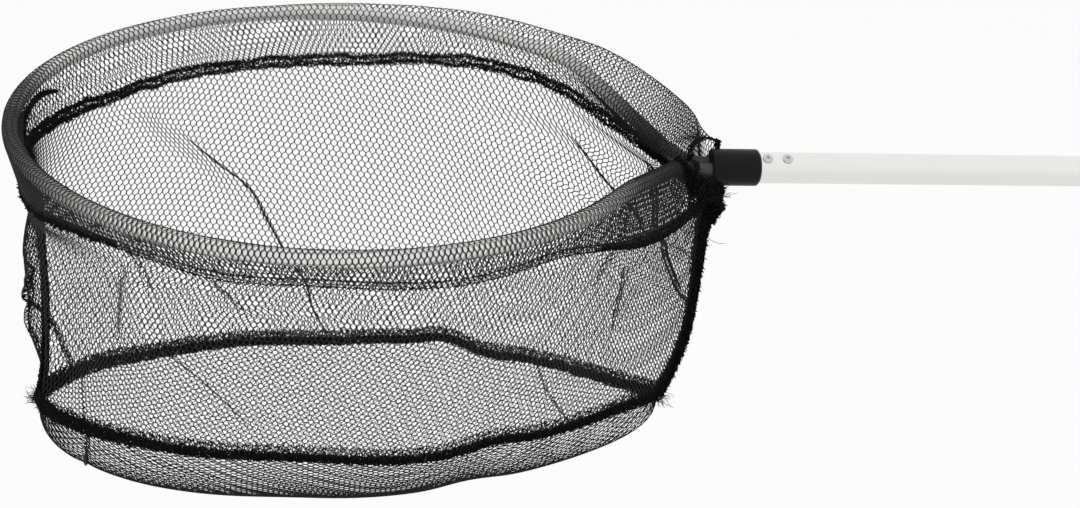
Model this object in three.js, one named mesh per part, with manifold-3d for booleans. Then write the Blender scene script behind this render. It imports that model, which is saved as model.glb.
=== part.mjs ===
// Pond net: a netting bag sewn on a round tube hoop, with a telescopic pole.
// Millimetres, +Z up. The pole lies along X with the hoop towards -X. The origin is on
// the pole's axis, at the middle of the hand grip.

import * as THREE from 'three';
import { mergeVertices } from 'three/addons/utils/BufferGeometryUtils.js';
import Module from 'manifold-3d';

const wasm = await Module();
wasm.setup();

// Fits
const SEAT_FIT = 0.25; // between pieces that stay together, on each side
const SLIDE_FIT = 0.25; // between pieces that slide or turn on each other, on each side
const SEW_GAP = 0.35; // between netting and the seam that holds it

// Pole
const INNER_TUBE_D = 19;
const INNER_TUBE_WALL = 1;
const INNER_TUBE_LENGTH = 520;
const OUTER_TUBE_WALL = 0.8;
const OUTER_TUBE_LENGTH = 520;
const TELESCOPE_GAP = 0.7; // between the two tubes, on each side
const BARE_LENGTH = 260; // inner tube that shows between the ferrule and the lock nut

// Ferrule that joins the hoop to the pole
const FERRULE_WALL = 1.45; // outside the hoop's ends
const FERRULE_FLOOR = 7.5; // behind the hoop's ends
const FERRULE_EDGE = 1.4; // rounding of its pole end
const SOCKET_DEPTH = 22; // for each end of the hoop
const SPIGOT_TAIL = 15; // of the spigot, past the second rivet

// Blind rivets through the inner tube into the spigot
const RIVET_HEAD_D = 6.4;
const RIVET_HEAD_HEIGHT = 1.3;
const RIVET_RIM = 0.45; // thickness at the head's edge
const RIVET_SHANK_D = 3.2;
const RIVET_BITE = 5; // into the spigot
const RIVET_PIT_WALL = 0.5; // round the pit where the mandrel broke off
const RIVET_PIT_DEPTH = 1.6;
const RIVET_GAP = 1.2; // from the ferrule to the first head
const RIVET_PITCH = 12.4;
const RIVET_ANGLE = THREE.MathUtils.degToRad(59); // up from the -Y side

// Guide plug in the inner tube's hidden end
const GUIDE_INSERT = 18;
const GUIDE_FLANGE = 6;

// Twist lock on the outer tube's mouth
const LOCK_NECK_WALL = 1.25;
const LOCK_NECK_LENGTH = 14;
const LOCK_SHOULDER = 1.75; // of the body over its neck
const LOCK_BODY_LENGTH = 12; // behind the neck
const LOCK_LIP = 3; // of the lock body, ahead of the outer tube's end
const COLLET_LENGTH = 8;
const COLLET_WALL = 2.45;
const COLLET_TAPER = 1; // of its wall, towards the front
const COLLET_SLOT = 2.4;
const NUT_WALL = 3;
const NUT_NOSE = 3.2; // thickness of the nut's front wall
const NUT_RIBS = 14;
const NUT_RIB_DEPTH = 1;

// Grip and end cap
const GRIP_WALL = 3.75;
const GRIP_LENGTH = 120;
const GRIP_EDGE = 3;
const CAP_PLUG = 20;
const CAP_FLANGE = 5;
const CAP_EDGE = 1;
const EYE_HOLE_D = 9;
const EYE_WALL = 5;
const EYE_NECK = 9.5; // from the flange to the hole
const EYE_THICKNESS = 7;

// Hoop, to the tube's centreline
const HOOP_TUBE_D = 9;
const HOOP_TUBE_WALL = 1;
const HOOP_RADIUS = 185;
const HOOP_NECK = 43; // from the ferrule's front face to the round part
const HOOP_END_WEB = 1.2; // of plastic between the two ends in the ferrule
const HOOP_STRAIGHT = 4; // ahead of the ferrule, before the bend
const HOOP_BEND = 26; // radius of the bend at each end
const HOOP_RISE = 28; // of the hoop's plane over the pole's axis
const HOOP_RISE_RUN = 75; // along the pole

// Netting bag
const NET_THICKNESS = 0.8;
const MESH_POINT = 0.14; // of the way from a cell's edge to its middle, at an opening's two points
const MESH_SHOULDER = 0.24; // and at its other four corners
const SLEEVE_GAP = 1; // between the hoop and the hem sleeve round it
const SLEEVE_FOOT_GAP = 0.7; // half the space inside the sleeve where it is sewn
const SLEEVE_LOOSE = 20; // how far the far side stands off the hoop near the ferrule
const SLEEVE_LIFT = 0.3; // share of it that goes upwards
const SLEEVE_LOOSE_PEAK = THREE.MathUtils.degToRad(28); // round the hem from the ferrule
const SLEEVE_LOOSE_END = THREE.MathUtils.degToRad(100);
const HEM_DROP = 25; // from the hoop's plane down to the hem seam
const HEM_INSET = 21; // of the hem seam inside the hoop, at its sides
const HEM_TIP_INSET = 5; // and at the hoop's tip
const HEM_HEEL = 13; // from the ferrule's front face to the seam's ends
const HEM_HEEL_DROP = 19; // how much lower the seam is there
const HEM_HEEL_RUN = 82;
const HEM_SEAM_D = 3.2;
const SIDE_SEAM_D = 4;
const SIDE_BOW_HEEL = 9; // how far the side seams bow out
const SIDE_BOW_TIP = 5;
const SIDE_BOW_POWER = 4; // how quickly the bow fades along the walls
const BOTTOM_SEAM_D = 5.6;
const BAG_DEPTH = 188; // from the hoop's plane down to the bottom seam
const BOTTOM_TIP_INSET = 7; // of the bottom seam from the hoop's tip
const BOTTOM_HEEL = 18; // and from the ferrule's front face
const BOTTOM_HALF_WIDTH = 76;
const BOTTOM_POINT = 1.5; // how sharply its two arcs come to a point
const SAG = 62; // of the bottom panel under its seam
const SAG_LEAN = 0.15; // the bag is this share deeper towards its tip
const SAG_POINT = 0.8; // how soon the panel drops at its points
const SAG_ROUND = 2.2; // and how round it is across
const SEAM_END = 0.05; // angle at which the hem and bottom seams end
const PANEL_END = 0.12; // angle at which the panel is gathered into its corners

// Smoothness
const ROUND = 24; // sides of a turned piece
const DOME_STEPS = 3;
const HOOP_STEPS = [1, 6, 4, 18]; // of the straight end, bend, tangent and half round part
const HOOP_SIDES = 8;
const SLEEVE_SIDES = 12;
const SEAM_SIDES = 6;
const HEM_SEAM_STEPS = 48;
const SIDE_SEAM_STEPS = 10;
const WALL_STEPS = 24; // even, with an opening in every two
const WALL_ROWS = 5;
const BOTTOM_STEPS = 20; // even too
const BOTTOM_ROWS = 6;

// Places that follow from the sizes
const INNER_BORE_D = INNER_TUBE_D - 2 * INNER_TUBE_WALL;
const OUTER_BORE_D = INNER_TUBE_D + 2 * TELESCOPE_GAP;
const OUTER_TUBE_D = OUTER_BORE_D + 2 * OUTER_TUBE_WALL;
const TUBE_END = GRIP_LENGTH / 2;
const TUBE_MOUTH = TUBE_END - OUTER_TUBE_LENGTH;
const LOCK_FRONT = TUBE_MOUTH - LOCK_LIP;
const LOCK_NECK_D = OUTER_TUBE_D + 2 * SEAT_FIT + 2 * LOCK_NECK_WALL;
const LOCK_BODY_D = LOCK_NECK_D + 2 * LOCK_SHOULDER;
const COLLET_BACK = LOCK_FRONT - SEAT_FIT;
const COLLET_FRONT = COLLET_BACK - COLLET_LENGTH;
const COLLET_BORE_D = INNER_TUBE_D + 2 * SLIDE_FIT;
const COLLET_D = COLLET_BORE_D + 2 * COLLET_WALL;
const COLLET_NOSE_D = COLLET_D - 2 * COLLET_TAPER;
const NUT_FRONT = COLLET_FRONT - SLIDE_FIT - NUT_NOSE;
const NUT_BACK = LOCK_FRONT + LOCK_NECK_LENGTH - SLIDE_FIT;
const NUT_BORE_D = Math.max(LOCK_NECK_D, COLLET_D) + 2 * SLIDE_FIT;
const NUT_D = NUT_BORE_D + 2 * NUT_WALL;
const GRIP_BORE_D = OUTER_TUBE_D + 2 * SEAT_FIT;
const GRIP_D = GRIP_BORE_D + 2 * GRIP_WALL;
const FERRULE_LENGTH = SOCKET_DEPTH + FERRULE_FLOOR;
const HEAD_X = NUT_FRONT - BARE_LENGTH - FERRULE_LENGTH;
const HOOP_CENTRE = -(HOOP_NECK + HOOP_RADIUS);
const HOOP_TIP = HOOP_CENTRE - HOOP_RADIUS;
const HOOP_END_Y = (HOOP_TUBE_D + HOOP_END_WEB) / 2;
const FERRULE_D = 2 * (HOOP_END_Y + HOOP_TUBE_D / 2 + SEAT_FIT + FERRULE_WALL);
const RIVET_FIRST = RIVET_GAP + RIVET_HEAD_D / 2;
const RIVET_TIP = INNER_TUBE_D / 2 - INNER_TUBE_WALL - RIVET_BITE; // from the pole's axis
const SPIGOT_LENGTH = RIVET_FIRST + RIVET_PITCH + SPIGOT_TAIL;
const BOTTOM_Z = HOOP_RISE - BAG_DEPTH;
const SLEEVE_FOOT = NET_THICKNESS + SLEEVE_FOOT_GAP;

// Materials
const finish = (color, roughness, metalness) =>
  new THREE.MeshStandardMaterial({ color, roughness, metalness });
const POLE_METAL = finish(0xdfe0da, 0.35, 0.9);
const HOOP_METAL = finish(0xa9aca8, 0.35, 0.9);
const RIVET_METAL = finish(0xb9bbb9, 0.4, 0.9);
const BLACK_PLASTIC = finish(0x1c1c1d, 0.5, 0);
const FOAM = finish(0x242425, 0.9, 0);
const NETTING = finish(0x1a181a, 0.85, 0);
const SEWING = finish(0x121113, 0.9, 0);

// Shape helpers

/** A solid of revolution about X from [x, radius] pairs that go round its section. */
function turned(profile, sides = ROUND) {
  const points = profile.map(([x, r]) => new THREE.Vector2(r, x));
  return new THREE.LatheGeometry(points, sides).rotateZ(-Math.PI / 2);
}

/** A tube about X between two places, closed at its ends. */
function pipe(x0, x1, outerD, innerD) {
  const [outer, inner] = [outerD / 2, innerD / 2];
  return turned([[x0, outer], [x1, outer], [x1, inner], [x0, inner], [x0, outer]]);
}

/** A round bar about X. */
function bar(x0, x1, d) {
  return turned([[x0, 0], [x0, d / 2], [x1, d / 2], [x1, 0]]);
}

/** A closed geometry as a solid that can be cut and joined. */
function solid(geometry) {
  const bare = geometry.clone();
  bare.deleteAttribute('normal');
  bare.deleteAttribute('uv');
  const merged = mergeVertices(bare);
  const faces = [];
  for (let i = 0; i < merged.index.count; i += 3) {
    const [a, b, c] = [0, 1, 2].map((k) => merged.index.getX(i + k));
    if (a !== b && b !== c && c !== a) faces.push(a, b, c);
  }
  return new wasm.Manifold(new wasm.Mesh({
    numProp: 3,
    vertProperties: new Float32Array(merged.attributes.position.array),
    triVerts: new Uint32Array(faces),
  }));
}

/** A geometry from corner points and triples of their numbers. */
function faceted(corners, faces) {
  const geometry = new THREE.BufferGeometry();
  const flat = corners.flatMap((p) => [p.x, p.y, p.z]);
  geometry.setAttribute('position', new THREE.Float32BufferAttribute(flat, 3));
  geometry.setIndex(faces);
  geometry.computeVertexNormals();
  return geometry;
}

/** The geometry of a cut or joined solid. */
function shapeOf(manifold) {
  const mesh = manifold.getMesh();
  const corners = [];
  for (let i = 0; i < mesh.vertProperties.length; i += mesh.numProp) {
    corners.push(new THREE.Vector3(...mesh.vertProperties.slice(i, i + 3)));
  }
  return faceted(corners, Array.from(mesh.triVerts));
}

/** Adds the faces between two closed rings of corners, given by the corners' numbers. */
function addBand(faces, ring0, ring1, inward = false) {
  ring0.forEach((a0, k) => {
    const next = (k + 1) % ring0.length;
    const [b0, a1, b1] = [ring0[next], ring1[k], ring1[next]];
    faces.push(...(inward ? [a0, a1, b0, b0, a1, b1] : [a0, b0, a1, b0, b1, a1]));
  });
}

/** A tunnel with a wall: an outer and an inner ring at each station, joined at both ends. */
function tunnel(outerRings, innerRings) {
  const corners = [];
  const number = (ring) => ring.map((corner) => corners.push(corner) - 1);
  const [outer, inner] = [outerRings.map(number), innerRings.map(number)];
  const last = outer.length - 1;
  const faces = [];
  for (let i = 0; i < last; i += 1) {
    addBand(faces, outer[i], outer[i + 1]);
    addBand(faces, inner[i], inner[i + 1], true);
  }
  addBand(faces, inner[0], outer[0]);
  addBand(faces, outer[last], inner[last]);
  return faceted(corners, faces);
}

/**
 * A sheet of even thickness about a grid of points, closed round its rim. Each cell of two steps
 * along it and one across has a six-sided opening.
 */
function netting(grid, thickness) {
  const [rows, cols] = [grid.length, grid[0].length];
  const { clamp } = THREE.MathUtils;
  const at = (i, j) => grid[clamp(i, 0, rows - 1)][clamp(j, 0, cols - 1)];
  const skin = (side) => grid.map((row, i) => row.map((p, j) => {
    const along = at(i, j + 1).clone().sub(at(i, j - 1));
    const down = at(i + 1, j).clone().sub(at(i - 1, j));
    return p.clone().addScaledVector(along.cross(down).normalize(), side * thickness / 2);
  }));
  const corners = [...skin(1).flat(), ...skin(-1).flat()];
  const faces = [];
  const onSkins = (cell) => [0, rows * cols].map((start) => cell.map(([i, j]) => start + i * cols + j));
  // An opening's corners lie between the cell's own and its middle.
  const opening = (ring) => {
    const middle = new THREE.Vector3();
    ring.forEach((n) => middle.addScaledVector(corners[n], 1 / ring.length));
    return ring.map((n, k) =>
      corners.push(corners[n].clone().lerp(middle, k % 3 === 1 ? MESH_POINT : MESH_SHOULDER)) - 1);
  };
  for (let i = 0; i + 2 < rows; i += 2) {
    for (let j = 0; j + 1 < cols; j += 1) {
      const near = [[i, j], [i + 1, j], [i + 2, j]];
      const far = [[i + 2, j + 1], [i + 1, j + 1], [i, j + 1]];
      const [front, back] = onSkins([...near, ...far]);
      const [frontHole, backHole] = [opening(front), opening(back)];
      addBand(faces, front, frontHole, true);
      addBand(faces, back, backHole);
      addBand(faces, frontHole, backHole, true);
    }
  }
  const [along, across] = [spaced(0, rows - 1, rows - 1), spaced(0, cols - 1, cols - 1)];
  const rim = [
    ...along.map((i) => [i, 0]),
    ...across.slice(1).map((j) => [rows - 1, j]),
    ...along.slice(0, -1).reverse().map((i) => [i, cols - 1]),
    ...across.slice(1, -1).reverse().map((j) => [0, j]),
  ];
  addBand(faces, ...onSkins(rim));
  return faceted(corners, faces);
}

/** A round cord along a list of points. */
function cord(points, diameter, steps) {
  const section = new THREE.Shape().absarc(0, 0, diameter / 2, 0, 2 * Math.PI, false);
  return new THREE.ExtrudeGeometry(section, {
    extrudePath: new THREE.CatmullRomCurve3(points),
    steps,
    curveSegments: SEAM_SIDES / 2,
  });
}

/** From 0 to 1 with flat ends. */
const ease = (t) => THREE.MathUtils.smoothstep(t, 0, 1);

/** Evenly spaced values from a to b, both counted. */
const spaced = (a, b, steps) =>
  Array.from({ length: steps + 1 }, (_, i) => a + (b - a) * i / steps);

function named(name, geometry, material) {
  const mesh = new THREE.Mesh(geometry, material);
  mesh.name = name;
  return mesh;
}

// Hoop

/**
 * The hoop's centreline, from the end on the -Y side round the tip to the end on the +Y side.
 * In plan each half is a straight end, a bend outwards, a tangent and half of the round part.
 */
class HoopLine extends THREE.Curve {
  constructor() {
    super();
    const reach = -HOOP_STRAIGHT - HOOP_CENTRE;
    const across = HOOP_END_Y + HOOP_BEND;
    this.turn = Math.atan2(reach, across)
      - Math.acos((HOOP_RADIUS + HOOP_BEND) / Math.hypot(reach, across));
    this.endX = SOCKET_DEPTH - SEAT_FIT;
    const [sin, cos] = [Math.sin(this.turn), Math.cos(this.turn)];
    this.bendX = -HOOP_STRAIGHT - HOOP_BEND * sin;
    this.bendY = HOOP_END_Y + HOOP_BEND * (1 - cos);
    const touchX = HOOP_CENTRE + HOOP_RADIUS * sin;
    const tangent = Math.hypot(touchX - this.bendX, HOOP_RADIUS * cos - this.bendY);
    this.lengths = [
      this.endX + HOOP_STRAIGHT,
      HOOP_BEND * this.turn,
      tangent,
      HOOP_RADIUS * (Math.PI / 2 + this.turn),
    ];
    this.steps = 2 * HOOP_STEPS.reduce((sum, count) => sum + count, 0);
  }

  /** The stations stay where getPoint puts them, so the bends get more of them. */
  getUtoTmapping(u) {
    return u;
  }

  /** The plan of one half at a distance along one of its four stretches. */
  plan(stretch, d) {
    if (stretch === 0) return [this.endX - d, HOOP_END_Y];
    if (stretch === 1) {
      const a = d / HOOP_BEND;
      return [-HOOP_STRAIGHT - HOOP_BEND * Math.sin(a), HOOP_END_Y + HOOP_BEND * (1 - Math.cos(a))];
    }
    if (stretch === 2) return [this.bendX - d * Math.cos(this.turn), this.bendY + d * Math.sin(this.turn)];
    const a = Math.PI / 2 - this.turn + d / HOOP_RADIUS;
    return [HOOP_CENTRE + HOOP_RADIUS * Math.cos(a), HOOP_RADIUS * Math.sin(a)];
  }

  getPoint(t, target = new THREE.Vector3()) {
    const station = t * this.steps;
    let steps = Math.max(0, Math.min(station, this.steps - station));
    let stretch = 0;
    while (stretch < 3 && steps > HOOP_STEPS[stretch]) {
      steps -= HOOP_STEPS[stretch];
      stretch += 1;
    }
    const [x, y] = this.plan(stretch, this.lengths[stretch] * steps / HOOP_STEPS[stretch]);
    const z = HOOP_RISE * ease((-HOOP_STRAIGHT - x) / HOOP_RISE_RUN);
    return target.set(x, 2 * t < 1 ? -y : y, z);
  }
}

const hoopLine = new HoopLine();

function hoop() {
  const ring = (d) => new THREE.Path().absarc(0, 0, d / 2, 0, 2 * Math.PI, true);
  const section = new THREE.Shape().absarc(0, 0, HOOP_TUBE_D / 2, 0, 2 * Math.PI, false);
  section.holes.push(ring(HOOP_TUBE_D - 2 * HOOP_TUBE_WALL));
  return new THREE.ExtrudeGeometry(section, {
    extrudePath: hoopLine,
    steps: hoopLine.steps,
    curveSegments: HOOP_SIDES / 2,
  });
}

// Ferrule and rivets

function rivetAt(number) {
  const place = new THREE.Group();
  place.position.x = FERRULE_LENGTH + RIVET_FIRST + number * RIVET_PITCH;
  place.rotation.x = Math.PI / 2 - RIVET_ANGLE;
  return place;
}

/** A bar along Z that goes from a rivet's tip out through the tube. */
function rivetHole(number) {
  const hole = bar(0, INNER_TUBE_D, RIVET_SHANK_D + 2 * SEAT_FIT).rotateY(-Math.PI / 2);
  hole.translate(0, 0, RIVET_TIP - SEAT_FIT);
  const place = rivetAt(number);
  place.updateMatrix();
  return hole.applyMatrix4(place.matrix);
}

/** A blind rivet along Z with its head over the tube, hollow where the mandrel was. */
function rivet() {
  const seat = INNER_TUBE_D / 2 + SEAT_FIT / 2;
  const [head, shank] = [RIVET_HEAD_D / 2, RIVET_SHANK_D / 2];
  const pit = shank - RIVET_PIT_WALL;
  const top = seat + RIVET_HEAD_HEIGHT;
  const dome = spaced(0, Math.PI / 2, DOME_STEPS).map((a) => [
    seat + RIVET_RIM + (RIVET_HEAD_HEIGHT - RIVET_RIM) * Math.sin(a),
    pit + (head - pit) * Math.cos(a),
  ]);
  return turned([
    [RIVET_TIP, 0],
    [RIVET_TIP, shank],
    [seat, shank],
    [seat, head],
    ...dome,
    [top - RIVET_PIT_DEPTH, pit],
    [top - RIVET_PIT_DEPTH, 0],
  ], ROUND / 2).rotateY(-Math.PI / 2);
}

function ferrule() {
  const r = FERRULE_D / 2;
  const spigot = INNER_BORE_D / 2 - SEAT_FIT;
  const edge = spaced(0, Math.PI / 2, DOME_STEPS).map((a) => [
    FERRULE_LENGTH - FERRULE_EDGE * (1 - Math.sin(a)),
    r - FERRULE_EDGE * (1 - Math.cos(a)),
  ]);
  const body = solid(turned([
    [0, 0],
    [0, r - FERRULE_EDGE / 2],
    [FERRULE_EDGE / 2, r],
    ...edge,
    [FERRULE_LENGTH, spigot],
    [FERRULE_LENGTH + SPIGOT_LENGTH, spigot],
    [FERRULE_LENGTH + SPIGOT_LENGTH, 0],
  ]));
  const socket = bar(-FERRULE_LENGTH, SOCKET_DEPTH, HOOP_TUBE_D + 2 * SEAT_FIT);
  return shapeOf(body
    .subtract(solid(socket.clone().translate(0, HOOP_END_Y, 0)))
    .subtract(solid(socket.clone().translate(0, -HOOP_END_Y, 0)))
    .subtract(solid(rivetHole(0)))
    .subtract(solid(rivetHole(1))));
}

// Pole pieces

function innerTube() {
  const start = FERRULE_LENGTH + SEAT_FIT;
  const tube = solid(pipe(start, FERRULE_LENGTH + INNER_TUBE_LENGTH, INNER_TUBE_D, INNER_BORE_D));
  return shapeOf(tube.subtract(solid(rivetHole(0))).subtract(solid(rivetHole(1))));
}

function guidePlug() {
  const end = FERRULE_LENGTH + INNER_TUBE_LENGTH;
  const insert = INNER_BORE_D / 2 - SEAT_FIT;
  const flange = OUTER_BORE_D / 2 - SLIDE_FIT;
  return turned([
    [end - GUIDE_INSERT, 0],
    [end - GUIDE_INSERT, insert],
    [end + SEAT_FIT, insert],
    [end + SEAT_FIT, flange],
    [end + SEAT_FIT + GUIDE_FLANGE, flange],
    [end + SEAT_FIT + GUIDE_FLANGE, 0],
  ]);
}

function lockBody() {
  const bore = OUTER_TUBE_D / 2 + SEAT_FIT;
  const lip = COLLET_BORE_D / 2;
  const neckEnd = LOCK_FRONT + LOCK_NECK_LENGTH;
  const back = neckEnd + LOCK_BODY_LENGTH;
  return turned([
    [LOCK_FRONT, LOCK_NECK_D / 2],
    [neckEnd, LOCK_NECK_D / 2],
    [neckEnd, LOCK_BODY_D / 2],
    [back - SEAT_FIT, LOCK_BODY_D / 2],
    [back, LOCK_BODY_D / 2 - SEAT_FIT],
    [back, bore],
    [TUBE_MOUTH - SEAT_FIT, bore],
    [TUBE_MOUTH - SEAT_FIT, lip],
    [LOCK_FRONT, lip],
    [LOCK_FRONT, LOCK_NECK_D / 2],
  ]);
}

function lockCollet() {
  const bore = COLLET_BORE_D / 2;
  const ring = solid(turned([
    [COLLET_FRONT, COLLET_NOSE_D / 2],
    [COLLET_BACK, COLLET_D / 2],
    [COLLET_BACK, bore],
    [COLLET_FRONT, bore],
    [COLLET_FRONT, COLLET_NOSE_D / 2],
  ]));
  const slot = new THREE.BoxGeometry(3 * COLLET_LENGTH, COLLET_SLOT, COLLET_D);
  slot.translate((COLLET_FRONT + COLLET_BACK) / 2, 0, -COLLET_D / 2);
  return shapeOf(ring.subtract(solid(slot)));
}

function lockNut() {
  const outline = new THREE.Shape();
  spaced(0, 2 * Math.PI, 4 * NUT_RIBS).slice(0, -1).forEach((angle, i) => {
    const r = NUT_D / 2 - (i % 4 < 2 ? 0 : NUT_RIB_DEPTH);
    const corner = [r * Math.cos(angle), r * Math.sin(angle)];
    if (i === 0) outline.moveTo(...corner);
    else outline.lineTo(...corner);
  });
  outline.closePath();
  const block = new THREE.ExtrudeGeometry(outline, { depth: NUT_BACK - NUT_FRONT, bevelEnabled: false });
  block.rotateY(Math.PI / 2).translate(NUT_FRONT, 0, 0);
  const nose = COLLET_NOSE_D / 2 + SLIDE_FIT;
  const hollow = turned([
    [NUT_FRONT - NUT_NOSE, 0],
    [NUT_FRONT - NUT_NOSE, COLLET_BORE_D / 2],
    [NUT_FRONT + NUT_NOSE, COLLET_BORE_D / 2],
    [NUT_FRONT + NUT_NOSE, nose],
    [COLLET_BACK, NUT_BORE_D / 2],
    [NUT_BACK + NUT_NOSE, NUT_BORE_D / 2],
    [NUT_BACK + NUT_NOSE, 0],
  ]);
  return shapeOf(solid(block).subtract(solid(hollow)));
}

function grip() {
  const [r, bore] = [GRIP_D / 2, GRIP_BORE_D / 2];
  const [x0, x1] = [-GRIP_LENGTH / 2, GRIP_LENGTH / 2];
  return turned([
    [x0, r - GRIP_EDGE],
    [x0 + GRIP_EDGE, r],
    [x1 - GRIP_EDGE / 2, r],
    [x1, r - GRIP_EDGE / 2],
    [x1, bore],
    [x0, bore],
    [x0, r - GRIP_EDGE],
  ]);
}

function endCap() {
  const face = TUBE_END + SEAT_FIT;
  const back = face + CAP_FLANGE;
  const plug = OUTER_BORE_D / 2 - SEAT_FIT;
  const rim = GRIP_D / 2 - GRIP_EDGE / 2;
  const stopper = solid(turned([
    [TUBE_END - CAP_PLUG, 0],
    [TUBE_END - CAP_PLUG, plug],
    [face, plug],
    [face, rim],
    [back - CAP_EDGE, rim],
    [back, rim - CAP_EDGE],
    [back, 0],
  ]));
  const half = EYE_HOLE_D / 2 + EYE_WALL;
  const eye = EYE_NECK + EYE_HOLE_D / 2;
  const outline = new THREE.Shape();
  outline.moveTo(-CAP_FLANGE / 2, -half);
  outline.lineTo(eye, -half);
  outline.absarc(eye, 0, half, -Math.PI / 2, Math.PI / 2, false);
  outline.lineTo(-CAP_FLANGE / 2, half);
  outline.closePath();
  outline.holes.push(new THREE.Path().absarc(eye, 0, EYE_HOLE_D / 2, 0, 2 * Math.PI, true));
  const tab = new THREE.ExtrudeGeometry(outline, {
    depth: EYE_THICKNESS,
    bevelEnabled: false,
    curveSegments: ROUND / 2,
  });
  tab.rotateX(Math.PI / 2).translate(back, EYE_THICKNESS / 2, 0);
  return shapeOf(stopper.add(solid(tab)));
}

// Netting bag. The angle goes from 0 at the ferrule to pi at the hoop's tip, on either side.

const [hemLeft, hemRight] = [HOOP_TIP + HEM_TIP_INSET, -HEM_HEEL];
const [footLeft, footRight] = [HOOP_TIP + BOTTOM_TIP_INSET, -BOTTOM_HEEL];
const hemCentre = (hemLeft + hemRight) / 2;
const hemHalf = (hemRight - hemLeft) / 2;
const hemHalfWidth = HOOP_RADIUS - HEM_INSET;

/** The hem seam: an oval under the hoop that drops towards the ferrule. */
function hemPoint(angle, side) {
  const x = hemCentre + hemHalf * Math.cos(angle);
  const heel = ease((x + HEM_HEEL_RUN + HEM_HEEL) / HEM_HEEL_RUN);
  const z = HOOP_RISE - HEM_DROP - HEM_HEEL_DROP * heel;
  return new THREE.Vector3(x, side * hemHalfWidth * Math.sin(angle), z);
}

/** The bottom seam: two arcs that meet in points under the ferrule and under the tip. */
function footPoint(angle, side) {
  const x = (footLeft + footRight) / 2 + (footRight - footLeft) / 2 * Math.cos(angle);
  const apart = Math.max(BOTTOM_SEAM_D, SIDE_SEAM_D) / 2 + SEW_GAP;
  const y = apart + BOTTOM_HALF_WIDTH * Math.abs(Math.sin(angle)) ** BOTTOM_POINT;
  return new THREE.Vector3(x, side * y, BOTTOM_Z);
}

/** How far the walls bow outwards along the pole at a share of the way down. */
function bow(angle, share) {
  const cos = Math.cos(angle);
  const most = cos > 0 ? SIDE_BOW_HEEL : -SIDE_BOW_TIP;
  return most * Math.abs(cos) ** SIDE_BOW_POWER * Math.sin(Math.PI * share);
}

/** One wall of the bag, between the hem seam and the bottom seam. */
function wall(side) {
  const columns = spaced(0, Math.PI, WALL_STEPS).map((angle) => {
    const top = hemPoint(angle, side);
    top.y += side * (SIDE_SEAM_D / 2 + SEW_GAP);
    const foot = footPoint(angle, side);
    const down = foot.clone().sub(top).normalize();
    top.addScaledVector(down, HEM_SEAM_D / 2 + SEW_GAP);
    foot.addScaledVector(down, -(BOTTOM_SEAM_D / 2 + SEW_GAP));
    return spaced(0, 1, WALL_ROWS).map((share) => {
      const p = top.clone().lerp(foot, share);
      p.x += bow(angle, share);
      return p;
    });
  });
  return netting(side > 0 ? columns : columns.slice().reverse(), NET_THICKNESS);
}

/** The bottom panel, which sags under the bottom seam. */
function bottomPanel() {
  const rim = BOTTOM_Z - BOTTOM_SEAM_D / 2 - SEW_GAP;
  const columns = spaced(PANEL_END, Math.PI - PANEL_END, BOTTOM_STEPS).map((angle) => {
    const edge = footPoint(angle, 1);
    const sag = SAG * (1 - SAG_LEAN * Math.cos(angle)) * Math.sin(angle) ** SAG_POINT;
    return spaced(-1, 1, BOTTOM_ROWS).map((t) =>
      new THREE.Vector3(edge.x, t * edge.y, rim - sag * (1 - Math.abs(t) ** SAG_ROUND)));
  });
  return netting(columns, NET_THICKNESS);
}

/** The sleeve round the hoop, folded over it and sewn along the hem seam. */
function hemSleeve() {
  const clear = HOOP_TUBE_D + 2 * SLEEVE_GAP + 2 * NET_THICKNESS;
  const directions = spaced(0, 2 * Math.PI, SLEEVE_SIDES).slice(0, -1);
  const covered = spaced(0, 1, hoopLine.steps).filter((t) => {
    const p = hoopLine.getPointAt(t);
    return p.x < HOOP_CENTRE || Math.abs(p.y) > clear / 2 + SEW_GAP;
  });
  const stations = covered.map((t) => {
    const place = hoopLine.getPointAt(t);
    const along = hoopLine.getTangentAt(t);
    const side = Math.sign(place.y) || 1;
    const angle = Math.atan2(Math.abs(place.y) / hemHalfWidth, (place.x - hemCentre) / hemHalf);
    const foot = hemPoint(angle, side);
    const down = foot.clone().sub(place);
    down.addScaledVector(along, -down.dot(along)).normalize();
    const out = new THREE.Vector3().crossVectors(along, down).normalize();
    foot.addScaledVector(down, -(HEM_SEAM_D / 2 + SEW_GAP + SLEEVE_FOOT));
    const outward = new THREE.Vector3(-along.y, along.x, SLEEVE_LIFT).normalize();
    const rising = ease(angle / SLEEVE_LOOSE_PEAK);
    const fading = ease((SLEEVE_LOOSE_END - angle) / (SLEEVE_LOOSE_END - SLEEVE_LOOSE_PEAK));
    const loose = rising * fading;
    const edge = place.clone().addScaledVector(outward, side > 0 ? SLEEVE_LOOSE * loose : 0);
    const round = HOOP_TUBE_D / 2 + SLEEVE_GAP + NET_THICKNESS;
    const centres = [[place, round], [edge, round], [foot, SLEEVE_FOOT]];
    const corners = directions.map((a) => {
      const way = down.clone().multiplyScalar(Math.cos(a)).addScaledVector(out, Math.sin(a));
      const reach = centres.map(([p, r]) => p.dot(way) + r);
      return [way, ...centres[reach.indexOf(Math.max(...reach))]];
    });
    const ring = (thinner) => corners.map(([way, p, r]) => p.clone().addScaledVector(way, r - thinner));
    return [ring(0), ring(NET_THICKNESS)];
  });
  return tunnel(stations.map(([outer]) => outer), stations.map(([, inner]) => inner));
}

function hemSeam() {
  const front = spaced(SEAM_END, Math.PI, HEM_SEAM_STEPS / 2).map((angle) => hemPoint(angle, -1));
  const back = spaced(Math.PI, SEAM_END, HEM_SEAM_STEPS / 2).map((angle) => hemPoint(angle, 1));
  return cord([...front, ...back.slice(1)], HEM_SEAM_D, HEM_SEAM_STEPS);
}

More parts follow.
